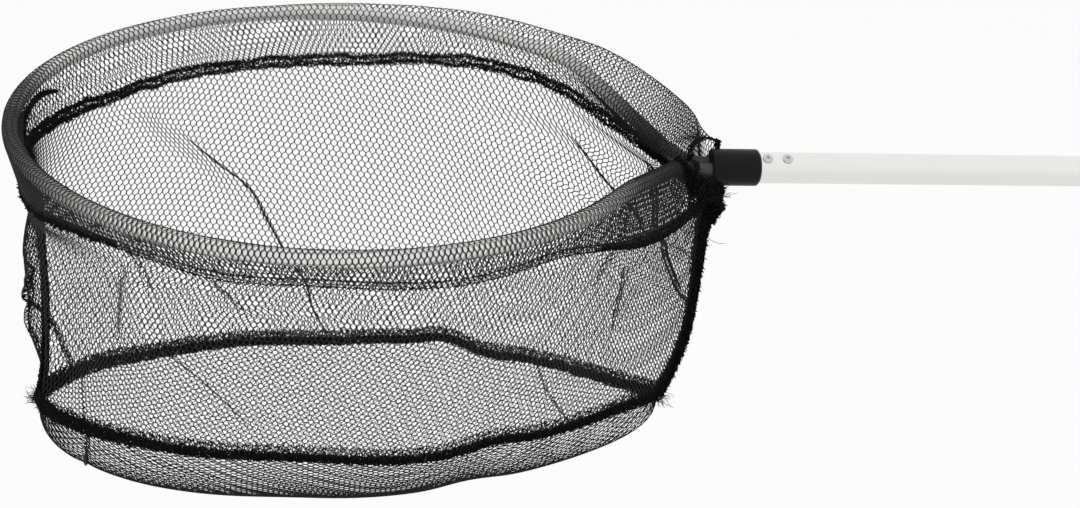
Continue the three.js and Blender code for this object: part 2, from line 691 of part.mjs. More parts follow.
function bottomSeam(side) {
  const points = spaced(SEAM_END, Math.PI - SEAM_END, BOTTOM_STEPS).map((angle) => footPoint(angle, side));
  return cord(points, BOTTOM_SEAM_D, BOTTOM_STEPS);
}

/** A seam down one end of the bag, where the front and back walls meet. */
function sideSeam(angle, topZ) {
  const top = hemPoint(angle, 0).setY(0);
  const foot = footPoint(angle, 0);
  const lowest = BOTTOM_Z + BOTTOM_SEAM_D / 2 + SEW_GAP;
  const points = spaced(0, 1, SIDE_SEAM_STEPS).map((share) => {
    const z = topZ + (lowest - topZ) * share;
    const down = THREE.MathUtils.clamp((top.z - z) / (top.z - foot.z), 0, 1);
    return new THREE.Vector3(top.x + (foot.x - top.x) * down + bow(angle, down), 0, z);
  });
  return cord(points, SIDE_SEAM_D, SIDE_SEAM_STEPS);
}

// Assembly

const head = new THREE.Group();
head.position.x = HEAD_X;
const rivets = ['rivet_front', 'rivet_rear'].map((name, number) => {
  const place = rivetAt(number);
  place.add(named(name, rivet(), RIVET_METAL));
  return place;
});
const tipSeamTop = hemPoint(Math.PI, 0).z - HEM_SEAM_D / 2 - SEW_GAP;
const heelSeamTop = -(HOOP_TUBE_D / 2 + SEW_GAP);
head.add(
  named('hoop', hoop(), HOOP_METAL),
  named('ferrule', ferrule(), BLACK_PLASTIC),
  ...rivets,
  named('inner_tube', innerTube(), POLE_METAL),
  named('guide_plug', guidePlug(), BLACK_PLASTIC),
  named('hem_sleeve', hemSleeve(), NETTING),
  named('hem_seam', hemSeam(), SEWING),
  named('front_wall', wall(-1), NETTING),
  named('back_wall', wall(1), NETTING),
  named('bottom_panel', bottomPanel(), NETTING),
  named('bottom_seam_front', bottomSeam(-1), SEWING),
  named('bottom_seam_back', bottomSeam(1), SEWING),
  named('side_seam_tip', sideSeam(Math.PI, tipSeamTop), SEWING),
  named('side_seam_heel', sideSeam(0, heelSeamTop), SEWING),
);

const net = new THREE.Group();
net.add(
  head,
  named('outer_tube', pipe(TUBE_MOUTH, TUBE_END, OUTER_TUBE_D, OUTER_BORE_D), POLE_METAL),
  named('lock_body', lockBody(), BLACK_PLASTIC),
  named('lock_collet', lockCollet(), BLACK_PLASTIC),
  named('lock_nut', lockNut(), BLACK_PLASTIC),
  named('grip', grip(), FOAM),
  named('end_cap', endCap(), BLACK_PLASTIC),
);

export default net;
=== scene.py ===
"""Pond net: a netting bag sewn on a tube hoop, on a telescopic pole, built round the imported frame."""

import bpy
import numpy as np
from mathutils import Matrix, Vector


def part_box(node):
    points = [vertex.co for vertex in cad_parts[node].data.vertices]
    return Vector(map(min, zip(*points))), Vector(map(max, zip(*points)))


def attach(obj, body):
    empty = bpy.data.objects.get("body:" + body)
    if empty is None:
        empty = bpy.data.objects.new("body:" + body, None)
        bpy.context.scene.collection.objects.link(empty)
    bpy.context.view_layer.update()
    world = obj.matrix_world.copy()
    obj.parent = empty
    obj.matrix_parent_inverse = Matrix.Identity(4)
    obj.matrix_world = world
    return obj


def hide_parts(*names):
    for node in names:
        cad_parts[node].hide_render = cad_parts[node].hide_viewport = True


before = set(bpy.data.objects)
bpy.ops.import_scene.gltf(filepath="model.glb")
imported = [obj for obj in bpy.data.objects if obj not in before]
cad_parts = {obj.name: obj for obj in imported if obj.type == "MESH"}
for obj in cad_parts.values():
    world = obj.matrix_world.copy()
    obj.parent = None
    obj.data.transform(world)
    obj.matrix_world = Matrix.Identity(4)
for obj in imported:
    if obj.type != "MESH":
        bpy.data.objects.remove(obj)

bl_info = {
    "name": "Pond Net",
    "version": (1, 0, 0),
    "blender": (4, 5, 0),
    "location": "View3D > Sidebar > Pond Net",
    "description": "Builds a pond net from threads, seams, a hoop and a telescopic pole",
    "category": "Object",
}

# Lengths in this file are millimetres, except in the properties, the stage and the meshes.
MM = 0.001
UP = np.array([0.0, 0.0, 1.0])
HEAD_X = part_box("ferrule")[0].x / MM
HEAD = np.array([HEAD_X, 0.0, 0.0])
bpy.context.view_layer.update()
BAKE_MAP = "OFBake"
# Divisors are kept above the first, and lengths closer than the second count as the same
TINY, CLOSE = 1e-9, 1e-6


# Curves and grids

def ease(t):
    """From 0 to 1 with flat ends: 3t squared less 2t cubed."""
    t = np.clip(t, 0.0, 1.0)
    return t * t * (3.0 - 2.0 * t)


def bell(t):
    """A soft bump, 1 at 0 and nearly nothing past 2: e to the minus t squared."""
    return np.exp(-t * t)


def bumps(at, places):
    """The sum of soft bumps, each given by its place, height and width."""
    return sum(height * bell((at - place) / width) for place, height, width in places)


def smooth_line(at, knots, values):
    """Values through knots on cubic pieces, with the slopes of the knots' neighbours."""
    knots, values = np.asarray(knots, float), np.asarray(values, float)
    slopes = np.gradient(values, knots, axis=0)
    k = np.clip(np.searchsorted(knots, at) - 1, 0, len(knots) - 2)
    span = knots[k + 1] - knots[k]
    f = np.clip((at - knots[k]) / span, 0.0, 1.0)
    if values.ndim > 1:
        f, span = f[..., None], span[..., None]
    rise = ease(f)
    start = values[k] * (1.0 - rise) + values[k + 1] * rise
    turn = slopes[k] * (1.0 - f) - slopes[k + 1] * f
    return start + span * f * (1.0 - f) * turn


def unit(vectors):
    """Vectors made one long."""
    return vectors / np.maximum(np.linalg.norm(vectors, axis=-1, keepdims=True), TINY)


def run_along(points):
    """Distances along each row of points: the running sums of its steps."""
    steps = np.linalg.norm(np.diff(points, axis=-2), axis=-1)
    return np.concatenate([np.zeros(steps.shape[:-1] + (1,)), np.cumsum(steps, axis=-1)], axis=-1)


def look_up(at, row, known, points):
    """Points at places along rows of known points, on straight lines between those.

    The rows are set end to end on one line, so that one search finds the neighbours of every place.
    """
    rows, count = known.shape
    span = np.ptp(known) + 1.0
    flat = (known - known.min() + np.arange(rows)[:, None] * span).ravel()
    place = np.clip(at, known[row, 0], known[row, -1]) - known.min() + row * span
    after = np.clip(np.searchsorted(flat, place), row * count + 1, row * count + count - 1)
    before = after - 1
    width = np.maximum(flat[after] - flat[before], TINY)
    f = np.clip((place - flat[before]) / width, 0.0, 1.0)[..., None]
    flat_points = points.reshape(rows * count, -1)
    return flat_points[before] * (1.0 - f) + flat_points[after] * f


def evenly(path, step):
    """A path's points again, at even steps along it."""
    run = run_along(path)
    count = max(int(round(run[-1] / step)), 2) + 1
    return look_up(np.linspace(0.0, run[-1], count), 0, run[None], path[None])


# Meshes

def put_mesh(name, points, face_sets, maps=None):
    """A mesh from corner points in the row's frame and arrays of faces, which may have 3 or 4 corners."""
    mesh = bpy.data.meshes.new(name)
    counts = np.concatenate([np.full(len(faces), faces.shape[1]) for faces in face_sets])
    corners = np.concatenate([faces.ravel() for faces in face_sets]).astype(np.int32)
    starts = np.concatenate([[0], np.cumsum(counts)[:-1]]).astype(np.int32)
    mesh.vertices.add(len(points))
    mesh.vertices.foreach_set("co", (points * MM).astype(np.float32).ravel())
    mesh.loops.add(len(corners))
    mesh.loops.foreach_set("vertex_index", corners)
    mesh.polygons.add(len(counts))
    mesh.polygons.foreach_set("loop_start", starts)
    mesh.polygons.foreach_set("use_smooth", np.ones(len(counts), bool))
    if maps is not None:
        layer = mesh.uv_layers.new(name=BAKE_MAP)
        layer.uv.foreach_set("vector", maps.astype(np.float32).ravel())
    mesh.update(calc_edges=True)
    mesh.validate()
    return mesh


def piece(mesh, body, slot, node, sharp=None):
    """An object at the origin with its slot's finish, which rides on a body and stands for a node."""
    obj = bpy.data.objects.new(mesh.name, mesh)
    bpy.context.scene.collection.objects.link(obj)
    mesh.materials.append(finish(slot))
    if sharp is not None:
        mesh.set_sharp_from_angle(angle=np.radians(sharp))
    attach(obj, body)
    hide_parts(node)
    return obj


def solid(name, shape, body, slot, node, sharp=40.0):
    """A rigid piece from a shape's points and faces, smooth but for edges sharper than an angle."""
    return piece(put_mesh(name, *shape), body, slot, node, sharp)


def joined(*shapes):
    """Several shapes, each of points and face sets, as one."""
    points, sets, first = [], [], 0
    for shape_points, face_sets in shapes:
        points.append(shape_points)
        sets.extend(faces + first for faces in face_sets)
        first += len(shape_points)
    return np.concatenate(points), sets


def grid_faces(rows, columns, close_rows=False, close_columns=False):
    """Quads of a grid of corners, joined round where it is closed."""
    r = np.arange(rows if close_rows else rows - 1)[:, None]
    c = np.arange(columns if close_columns else columns - 1)[None, :]
    r1, c1 = (r + 1) % rows, (c + 1) % columns
    quads = [r * columns + c, r * columns + c1, r1 * columns + c1, r1 * columns + c]
    return np.stack(np.broadcast_arrays(*quads), axis=-1).reshape(-1, 4)


def filleted(corners, radii, steps=5):
    """An outline with its corners rounded: each is replaced by an arc that touches both its sides."""
    corners, radii = np.asarray(corners, float), np.asarray(radii, float)
    before = unit(np.roll(corners, 1, axis=0) - corners)
    after = unit(np.roll(corners, -1, axis=0) - corners)
    half = np.arccos(np.clip((before * after).sum(1), -1.0, 1.0)) / 2.0
    back = (radii / np.tan(half))[:, None]
    middle = corners + unit(before + after) * (radii / np.sin(half))[:, None]
    share = np.linspace(0.0, 1.0, steps)[None, :, None]
    start, end = corners + before * back, corners + after * back
    chord = start[:, None] * (1.0 - share) + end[:, None] * share
    arc = middle[:, None] + unit(chord - middle[:, None]) * radii[:, None, None]
    return arc.reshape(-1, 2)


def turned(outline, sides=96, radius_at=None):
    """A closed outline of (x, radius) carried round the X axis; radius_at may change it by angle.

    The sign of the outline's area tells which way round it goes, so that the faces point outwards.
    """
    outline = np.asarray(outline, float)
    following = np.roll(outline, -1, axis=0)
    angle = np.linspace(0.0, 2.0 * np.pi, sides, endpoint=False)[:, None]
    x, r = np.broadcast_arrays(outline[None, :, 0], outline[None, :, 1] + 0.0 * angle)
    if radius_at is not None:
        r = radius_at(x, r, angle)
    points = np.stack([x, r * np.cos(angle), r * np.sin(angle)], axis=-1)
    area = following[:, 0] * outline[:, 1] - outline[:, 0] * following[:, 1]
    faces = grid_faces(sides, len(outline), True, True)
    if area.sum() > 0.0:
        faces = faces[:, ::-1]
    return points.reshape(-1, 3), [faces]


def capped(rings, ends):
    """Rings of points as a closed shape: each joined to the next, and the outer two to points at the ends."""
    levels, sides = rings.shape[:2]
    count, k = levels * sides, np.arange(sides)
    ahead = (k + 1) % sides
    first = np.stack([np.full(sides, count), ahead, k], axis=-1)
    last = np.stack([count - sides + k, count - sides + ahead, np.full(sides, count + 1)], axis=-1)
    points = np.concatenate([rings.reshape(-1, 3), ends])
    return points, [grid_faces(levels, sides, False, True), first, last]


def turned_solid(outline, sides):
    """An outline of (x, radius) that leaves the X axis and comes back to it, carried round that axis."""
    outline = np.asarray(outline, float)
    x, r = outline[1:-1, :1], outline[1:-1, 1:]
    angle = np.linspace(0.0, 2.0 * np.pi, sides, endpoint=False)[None, :]
    rings = np.stack([x + 0.0 * angle, r * np.cos(angle), r * np.sin(angle)], axis=-1)
    return capped(rings, np.column_stack([outline[[0, -1], 0], np.zeros((2, 2))]))


def frames(path, up):
    """Along, up and side vectors at the points of paths, the ups squared to the path."""
    along = unit(np.gradient(path, axis=0))
    up = unit(up - along * (up * along).sum(-1, keepdims=True))
    return along, up, np.cross(along, up)


def swept(path, up, sides, radius):
    """A circle carried along a path, square to it, and closed by flat ends."""
    _, up, side = frames(path, up)
    angle = np.linspace(0.0, 2.0 * np.pi, sides, endpoint=False)[:, None]
    ring = np.cos(angle) * up[:, None] * radius + np.sin(angle) * side[:, None] * radius
    return capped(path[:, None] + ring, path[[0, -1]])


# Threads

THREAD_SIDES = 3
# The section's corners stand this much further out than a round thread of the same mean width
THREAD_CORNER = np.pi / (THREAD_SIDES * np.sin(np.pi / THREAD_SIDES))


def tubes(points, normals, radius, keep=None):
    """Threads as thin tubes: points are levels by threads, and each ring stands square to its thread."""
    levels, threads = points.shape[:2]
    _, up, side = frames(points, normals)
    angle = (np.arange(THREAD_SIDES) + 0.5) * 2.0 * np.pi / THREAD_SIDES
    radius = THREAD_CORNER * np.broadcast_to(radius, (levels, threads))[..., None, None]
    ring = np.cos(angle)[:, None] * up[:, :, None] + np.sin(angle)[:, None] * side[:, :, None]
    rings = (points[:, :, None] + radius * ring).reshape(-1, 3)
    k, t, s = np.meshgrid(np.arange(levels - 1), np.arange(threads), np.arange(THREAD_SIDES), indexing="ij")
    s1 = (s + 1) % THREAD_SIDES
    here, there = (k * threads + t) * THREAD_SIDES, ((k + 1) * threads + t) * THREAD_SIDES
    faces = np.stack([here + s, here + s1, there + s1, there + s], axis=-1)
    left, right = (t + s / THREAD_SIDES) / threads, (t + (s + 1) / THREAD_SIDES) / threads
    low, high = k / (levels - 1), (k + 1) / (levels - 1)
    maps = np.stack([left, low, right, low, right, high, left, high], axis=-1)
    if keep is None:
        keep = np.ones((levels - 1, threads), bool)
    faces, maps = faces[keep].reshape(-1, 4), maps[keep].reshape(-1, 8)
    used, faces = np.unique(faces, return_inverse=True)
    return rings[used], faces.reshape(-1, 4), maps


def sheet_normals(points):
    """Normals of a grid of points, levels by threads, from the steps to its neighbours."""
    along, across = np.gradient(points, axis=0), np.gradient(points, axis=1)
    return unit(np.cross(across, along))


def lattice(first, last, rows, pitch, row_step, pillar, lean):
    """Where the threads of hexagonal netting run, as places across for each thread and level.

    Thread i keeps between columns i and i + 1, half a pitch apart. In each row it runs straight along one
    of them, beside its neighbour, and then crosses to the other. The levels are the two ends of each straight
    part.
    """
    i = np.arange(int(np.floor(2.0 * first / pitch)), int(np.ceil(2.0 * last / pitch)))[None, :]
    j = np.repeat(np.arange(rows), 2)[:, None]
    side = (i + j) % 2
    across = (i + side) * pitch / 2.0 + (1 - 2 * side) * lean
    level = (np.arange(rows)[:, None] + np.array([0.0, pillar])).ravel() * row_step
    return across, level


def laid(grid, middle, at, share, run=None):
    """Threads laid on a grid of rows by places: share goes over the rows, and at goes along them.

    A place along a row counts from its middle, by the run that is given or else by the row's own length.
    Gives the threads' points, their normals and which steps between levels lie on the grid.
    """
    run = run_along(grid) if run is None else run
    run = run - run[:, middle:middle + 1]
    row = np.clip(share, 0.0, 1.0) * (len(grid) - 1)
    low = np.minimum(row.astype(int), len(grid) - 2)
    f = (row - low)[..., None]
    points = look_up(at, low, run, grid) * (1.0 - f) + look_up(at, low + 1, run, grid) * f
    inside = (at > run[low, 0]) & (at < run[low, -1]) & (share >= 0.0) & (share <= 1.0)
    return points, sheet_normals(points), inside[1:] | inside[:-1]


# The hoop's line, in the head's frame: millimetres from the ferrule's front face

HOOP_TUBE_D = 9.0
HOOP_RADIUS = 185.0
HOOP_CENTRE = -228.0
HOOP_END_Y = 5.1
HOOP_STRAIGHT = 4.0
HOOP_BEND = 26.0
HOOP_RISE = 28.0
HOOP_RISE_RUN = 75.0
SOCKET_DEPTH = 21.75
BEND_STEPS, RING_STEPS = 60, 600


def hoop_line(step):
    """The hoop's centreline from its end on the -Y side round the tip to its end on the +Y side.

    In plan each half is a straight end, a bend outwards, a tangent and half of a circle. It rises over the
    pole's axis on an eased slope.
    """
    reach, across = -HOOP_STRAIGHT - HOOP_CENTRE, HOOP_END_Y + HOOP_BEND
    turn = np.arctan2(reach, across) - np.arccos((HOOP_RADIUS + HOOP_BEND) / np.hypot(reach, across))
    a = np.linspace(0.0, turn, BEND_STEPS)
    bend = np.stack([
        -HOOP_STRAIGHT - HOOP_BEND * np.sin(a),
        HOOP_END_Y + HOOP_BEND * (1.0 - np.cos(a)),
    ], axis=-1)
    b = np.linspace(np.pi / 2.0 - turn, np.pi, RING_STEPS)
    ring = np.stack([HOOP_CENTRE + HOOP_RADIUS * np.cos(b), HOOP_RADIUS * np.sin(b)], axis=-1)
    half = np.concatenate([[[SOCKET_DEPTH, HOOP_END_Y]], bend, ring])
    plan = np.concatenate([half * [1.0, -1.0], half[-2::-1]])
    z = HOOP_RISE * ease((-HOOP_STRAIGHT - plan[:, 0]) / HOOP_RISE_RUN)
    return evenly(np.column_stack([plan, z]), step)


# The bag's lines. On either side the angle goes from 0 at the ferrule to pi at the hoop's tip.

FRONT, BACK = -1, 1
HEM_X, HEM_HALF_LENGTH = -203.5, 204.5
HEM_HALF_WIDTH = {FRONT: 181.0, BACK: 164.0}
HEM_POINT_TIP, HEM_POINT_HEEL = {FRONT: 0.8, BACK: 1.0}, {FRONT: 2.3, BACK: 1.0}
HEM_Z = {FRONT: 11.0, BACK: 3.0}
HEM_HEEL_X, HEM_HEEL_RUN = {FRONT: -125.0, BACK: -95.0}, {FRONT: 105.0, BACK: 82.0}
HEM_HEEL_DROP = {FRONT: 33.0, BACK: 24.0}
HEM_TIP_X, HEM_TIP_RUN, HEM_TIP_DROP = -408.0, 40.0, {FRONT: 8.0, BACK: 0.0}
# Ripples of the seams: their place along the bag, height and width
HEM_RIPPLES = {
    FRONT: ((-292.0, -2.5, 30.0), (-345.0, 2.0, 30.0)),
    BACK: ((-140.0, 4.0, 45.0), (-368.0, -4.0, 30.0)),
}
FOOT_X, FOOT_HALF_LENGTH, FOOT_HALF_WIDTH = -212.0, 194.0, 76.0
FOOT_Z = -160.0
FOOT_EDGE = 1.5
FOOT_POINT_TIP, FOOT_POINT_HEEL = 1.3, 2.3
FOOT_RIPPLES = {
    FRONT: ((-130.0, 4.5, 22.0), (-250.0, 2.5, 40.0)),
    BACK: ((-374.0, 3.0, 20.0), (-222.0, -3.0, 40.0), (-150.0, 4.5, 15.0), (-118.0, -3.0, 16.0)),
}
FOOT_RIPPLE_ENDS = 0.5
SAG, SAG_LEAN, SAG_POINT, SAG_ROUND = 64.0, 0.15, 0.7, 2.2
# An oval's points pass from the tip's kind to the heel's while the angle's cosine is this near 0
POINT_PASS = 0.4


def pointed(angle, tip, heel):
    """Half an oval's width at an angle: its sine to a power, which passes from the tip's to the heel's."""
    power = tip + (heel - tip) * ease((np.cos(angle) + POINT_PASS) / (2.0 * POINT_PASS))
    return np.abs(np.sin(angle)) ** power


def hem_line(angle, side):
    """The hem seam: an oval under the hoop, pointed and lower towards the ferrule, with a few soft ripples.

    Behind it is drawn in from the hoop, and in front it hangs straight under it.
    """
    x = HEM_X + HEM_HALF_LENGTH * np.cos(angle)
    y = side * HEM_HALF_WIDTH[side] * pointed(angle, HEM_POINT_TIP[side], HEM_POINT_HEEL[side])
    heel = HEM_HEEL_DROP[side] * ease((x - HEM_HEEL_X[side]) / HEM_HEEL_RUN[side])
    tip = HEM_TIP_DROP[side] * (1.0 - ease((x - HEM_TIP_X) / HEM_TIP_RUN))
    return np.stack([x, y, HEM_Z[side] - heel - tip + bumps(x, HEM_RIPPLES[side])], axis=-1)


def foot_line(angle, side):
    """The bottom seam: an arc between points under the ferrule and the tip, with a few soft ripples."""
    x = FOOT_X + FOOT_HALF_LENGTH * np.cos(angle)
    y = side * (FOOT_EDGE + FOOT_HALF_WIDTH * pointed(angle, FOOT_POINT_TIP, FOOT_POINT_HEEL))
    z = FOOT_Z + bumps(x, FOOT_RIPPLES[side]) * np.abs(np.sin(angle)) ** FOOT_RIPPLE_ENDS
    return np.stack([x, y, z], axis=-1)


# What shapes the walls' ends: sizes, the powers that they rise and fade by, and places and widths in radians
HEEL_BOW, HEEL_BOW_SINK, HEEL_BOW_NARROW = 8.0, 1.6, 4
TIP_TUCK, TIP_TUCK_ENDS, TIP_TUCK_WIDE = 8.0, 0.6, 0.14
TIP_BULGE, TIP_BULGE_AT, TIP_BULGE_WIDE = {FRONT: -8.0, BACK: 18.0}, 0.4, 0.22
TIP_BULGE_TOP, TIP_BULGE_FOOT = 0.5, 0.25
TIP_PINCH, TIP_PINCH_AT, TIP_PINCH_WIDE = {FRONT: 32.0, BACK: 0.0}, 0.45, 0.35
TIP_PINCH_TOP, TIP_PINCH_FADE = 0.25, 0.6
# Waves: size, how often they turn along the wall, and where they start
WALL_WAVES = {
    FRONT: ((2.5, 5.0, 0.7), (1.6, 11.0, 2.1)),
    BACK: ((3.0, 4.0, 1.9), (1.5, 9.0, 0.4)),
}
WAVE_LEAN, WAVE_ENDS = 1.3, 0.5


def wall_grid(side, shares, places):
    """One wall of the bag at shares of the way from the hem seam to the bottom seam.

    A straight blend of the two seams, with soft upright waves. Its end at the ferrule bows out. Its end at
    the tip is drawn in at the side seam, and beside that the back wall bulges and the front wall is drawn in
    and back.
    """
    angle = np.linspace(0.0, np.pi, places)[None, :, None]
    share = shares[:, None, None]
    top, foot = hem_line(angle[..., 0], side), foot_line(angle[..., 0], side)
    points = top + (foot - top) * share
    hang = np.sin(np.pi * share)
    from_tip = np.pi - angle
    at_seam = bell(from_tip / TIP_TUCK_WIDE)
    heel = HEEL_BOW * np.sin(np.pi * share ** HEEL_BOW_SINK)
    heel = heel * np.maximum(np.cos(angle), 0.0) ** HEEL_BOW_NARROW
    tip = TIP_TUCK * np.abs(hang) ** TIP_TUCK_ENDS * at_seam
    bulge = ease(share / TIP_BULGE_TOP) * ease((1.0 - share) / TIP_BULGE_FOOT)
    tip = tip - TIP_BULGE[side] * bulge * bell((from_tip - TIP_BULGE_AT) / TIP_BULGE_WIDE)
    pinch = TIP_PINCH[side] * ease(share / TIP_PINCH_TOP) * (1.0 - share) ** TIP_PINCH_FADE
    pinch = pinch * bell((from_tip - TIP_PINCH_AT) / TIP_PINCH_WIDE) * (1.0 - at_seam)
    points = points + np.concatenate([heel + tip, pinch, 0.0 * heel], axis=-1)
    wave = sum(
        size * np.sin(turns * angle + start + WAVE_LEAN * share)
        for size, turns, start in WALL_WAVES[side]
    )
    outward = np.concatenate([np.cos(angle), side * np.sin(angle), 0.0 * angle], axis=-1)
    return points + outward * wave * hang * np.sin(angle) ** WAVE_ENDS


# Slopes of the rows of holes: a place across the wall, the slope there and how far it reaches
ROW_SLOPES = {
    FRONT: ((-40.0, 0.05, 120.0),),
    BACK: ((0.0, -0.25, 110.0), (140.0, -0.2, 60.0), (-150.0, -0.06, 60.0)),
}
# Folds: depths down the wall, places across it there, tuck, width, rise, and how soon it fades in and out.
# On the bottom panel the depths go across the bag and the places along it.
BOTTOM = 0
FOLDS = {
    FRONT: (
        ((0.0, 8.0, 22.0, 37.0), (147.0, 141.0, 133.0, 127.0), 7.0, 7.5, 1.0, (1.0, 12.0)),
        ((2.0, 8.0, 24.0, 41.0), (96.0, 92.0, 80.0, 71.0), 7.0, 7.5, 1.0, (4.0, 14.0)),
        ((4.0, 8.0, 26.0, 43.0), (-154.0, -154.0, -145.0, -136.0), 7.0, 7.5, 1.0, (4.0, 14.0)),
        ((18.0, 39.0, 72.0, 107.0), (-176.0, -178.0, -175.0, -170.0), 9.0, 10.0, 1.0, (16.0, 26.0)),
        ((4.0, 43.0, 82.0, 110.0), (151.0, 152.0, 153.0, 153.0), 9.0, 18.0, 2.0, (20.0, 30.0)),
    ),
    BACK: (
        ((26.0, 48.0, 63.0, 77.0, 103.0, 134.0, 146.0, 168.0, 186.0),
         (129.0, 108.0, 91.0, 75.0, 60.0, 41.0, 32.0, 24.0, 12.0), 8.0, 9.0, 1.5, (40.0, 4.0)),
        ((10.0, 26.0, 48.0, 63.0, 100.0),
         (152.0, 144.0, 123.0, 106.0, 74.0), 10.0, 36.0, 1.0, (16.0, 40.0)),
        ((23.0, 32.0, 46.0, 50.0, 67.0),
         (-136.0, -152.0, -176.0, -187.0, -202.0), 16.0, 18.0, 1.5, (14.0, 6.0)),
        ((90.0, 120.0, 146.0, 176.0, 190.0),
         (258.0, 226.0, 199.0, 185.0, 179.0), 20.0, 22.0, 2.0, (8.0, 1.0)),
        ((103.0, 119.0, 133.0, 152.0, 185.0),
         (257.0, 250.0, 238.0, 225.0, 218.0), 10.0, 11.0, 1.0, (8.0, 1.0)),
        ((8.0, 38.0, 59.0, 77.0, 91.0, 106.0),
         (-212.0, -222.0, -225.0, -226.0, -232.0, -240.0), 18.0, 20.0, 2.0, (6.0, 10.0)),
    ),
    BOTTOM: (
        ((40.0, 52.0, 70.0, 78.0, 90.0), (271.0, 283.0, 304.0, 316.0, 335.0), 9.0, 9.0, 1.5, (14.0, 2.0)),
        ((14.0, 24.0, 49.0, 63.0, 80.0), (62.0, 68.0, 82.0, 87.0, 92.0), 9.0, 9.0, 1.5, (14.0, 2.0)),
        ((-70.0, 0.0, 38.0, 70.0), (374.0, 381.0, 384.0, 387.0), 8.0, 8.0, 1.0, (2.0, 2.0)),
    ),
}
# How far a fold's pull reaches to either side
FOLD_PULL = 70.0
# Gathers: a place along the cloth, the share that it is drawn together there and how far that reaches.
# A negative share draws it apart.
GATHERS = {
    FRONT: ((-260.0, 0.22, 80.0), (285.0, -0.8, 45.0)),
    BACK: ((-260.0, 0.38, 90.0), (300.0, 0.2, 80.0)),
}
SLEEVE_GATHERS = {FRONT: ((620.0, 0.08, 60.0),), BACK: ((620.0, 0.55, 85.0),)}
CLOTH = np.linspace(-800.0, 800.0, 1601)


def summed(places):
    """Along the cloth from its middle, the running sum of soft bumps."""
    total = np.cumsum(bumps(CLOTH, places)) * (CLOTH[1] - CLOTH[0])
    return total - total[len(CLOTH) // 2]


def row_drop(across, side):
    """How far a row of holes has sunk at a place across the wall: the sum of slopes under soft bumps."""
    return np.interp(across, CLOTH, summed(ROW_SLOPES[side]))


def folded(across, depth, part):
    """Places across the cloth after its folds, and how far the folds stand out of it.

    Near a fold's line the cloth is drawn together by the fold's tuck within its width, so that it doubles
    over itself, and the pull dies away on both sides. Each fold fades in and out along its line.
    """
    at, lift = across + 0.0 * depth, 0.0 * depth * across
    for depths, places, tuck, width, rise, (fade_in, fade_out) in FOLDS[part]:
        off = across - smooth_line(depth, depths, places)
        fade = ease((depth - depths[0]) / fade_in) * ease((depths[-1] - depth) / fade_out)
        at = at - tuck * fade * (ease(off / width + 0.5) - 0.5) * bell(off / FOLD_PULL)
        lift = lift + rise * fade * bell(off / width)
    return at, lift


def bottom_grid(angles, places):
    """The bottom panel at angles round the bottom seam: from front to back it sags in a rounded bowl."""
    t = np.linspace(-1.0, 1.0, places)[None, :, None]
    front, back = foot_line(angles, FRONT)[:, None], foot_line(angles, BACK)[:, None]
    rim = front + (back - front) * (t + 1.0) / 2.0
    angle = angles[:, None, None]
    depth = SAG * (1.0 - SAG_LEAN * np.cos(angle)) * np.sin(angle) ** SAG_POINT
    sag = depth * (1.0 - np.abs(t) ** SAG_ROUND)
    return rim - sag * UP


# The hem sleeve: how far it stands off the tube, its loose edge by angle, and its mouth at the ferrule
SLEEVE_STEP = 1.5
SLEEVE_GAP = 0.6
SLEEVE_FOOT_ROUND = 0.8
SLEEVE_LIFT = 0.7
SLEEVE_END_Y = {FRONT: 6.3, BACK: 5.9}
LOOSE_ANGLES = np.radians([0.0, 13.0, 30.0, 47.0, 69.0, 90.0, 105.0, 180.0])
LOOSE_SIZES = (23.0, 24.0, 20.5, 11.5, 8.5, 3.0, 0.0, 0.0)
MOUTH_RUN, MOUTH_SHARE, MOUTH_SLIDE = 30.0, 0.3, 15.0
MOUTH_TOP, MOUTH_WIDE, MOUTH_SWELL = 0.56, 0.14, (-2.0, 0.0, 10.0)
OUTLINE_STEPS = 180


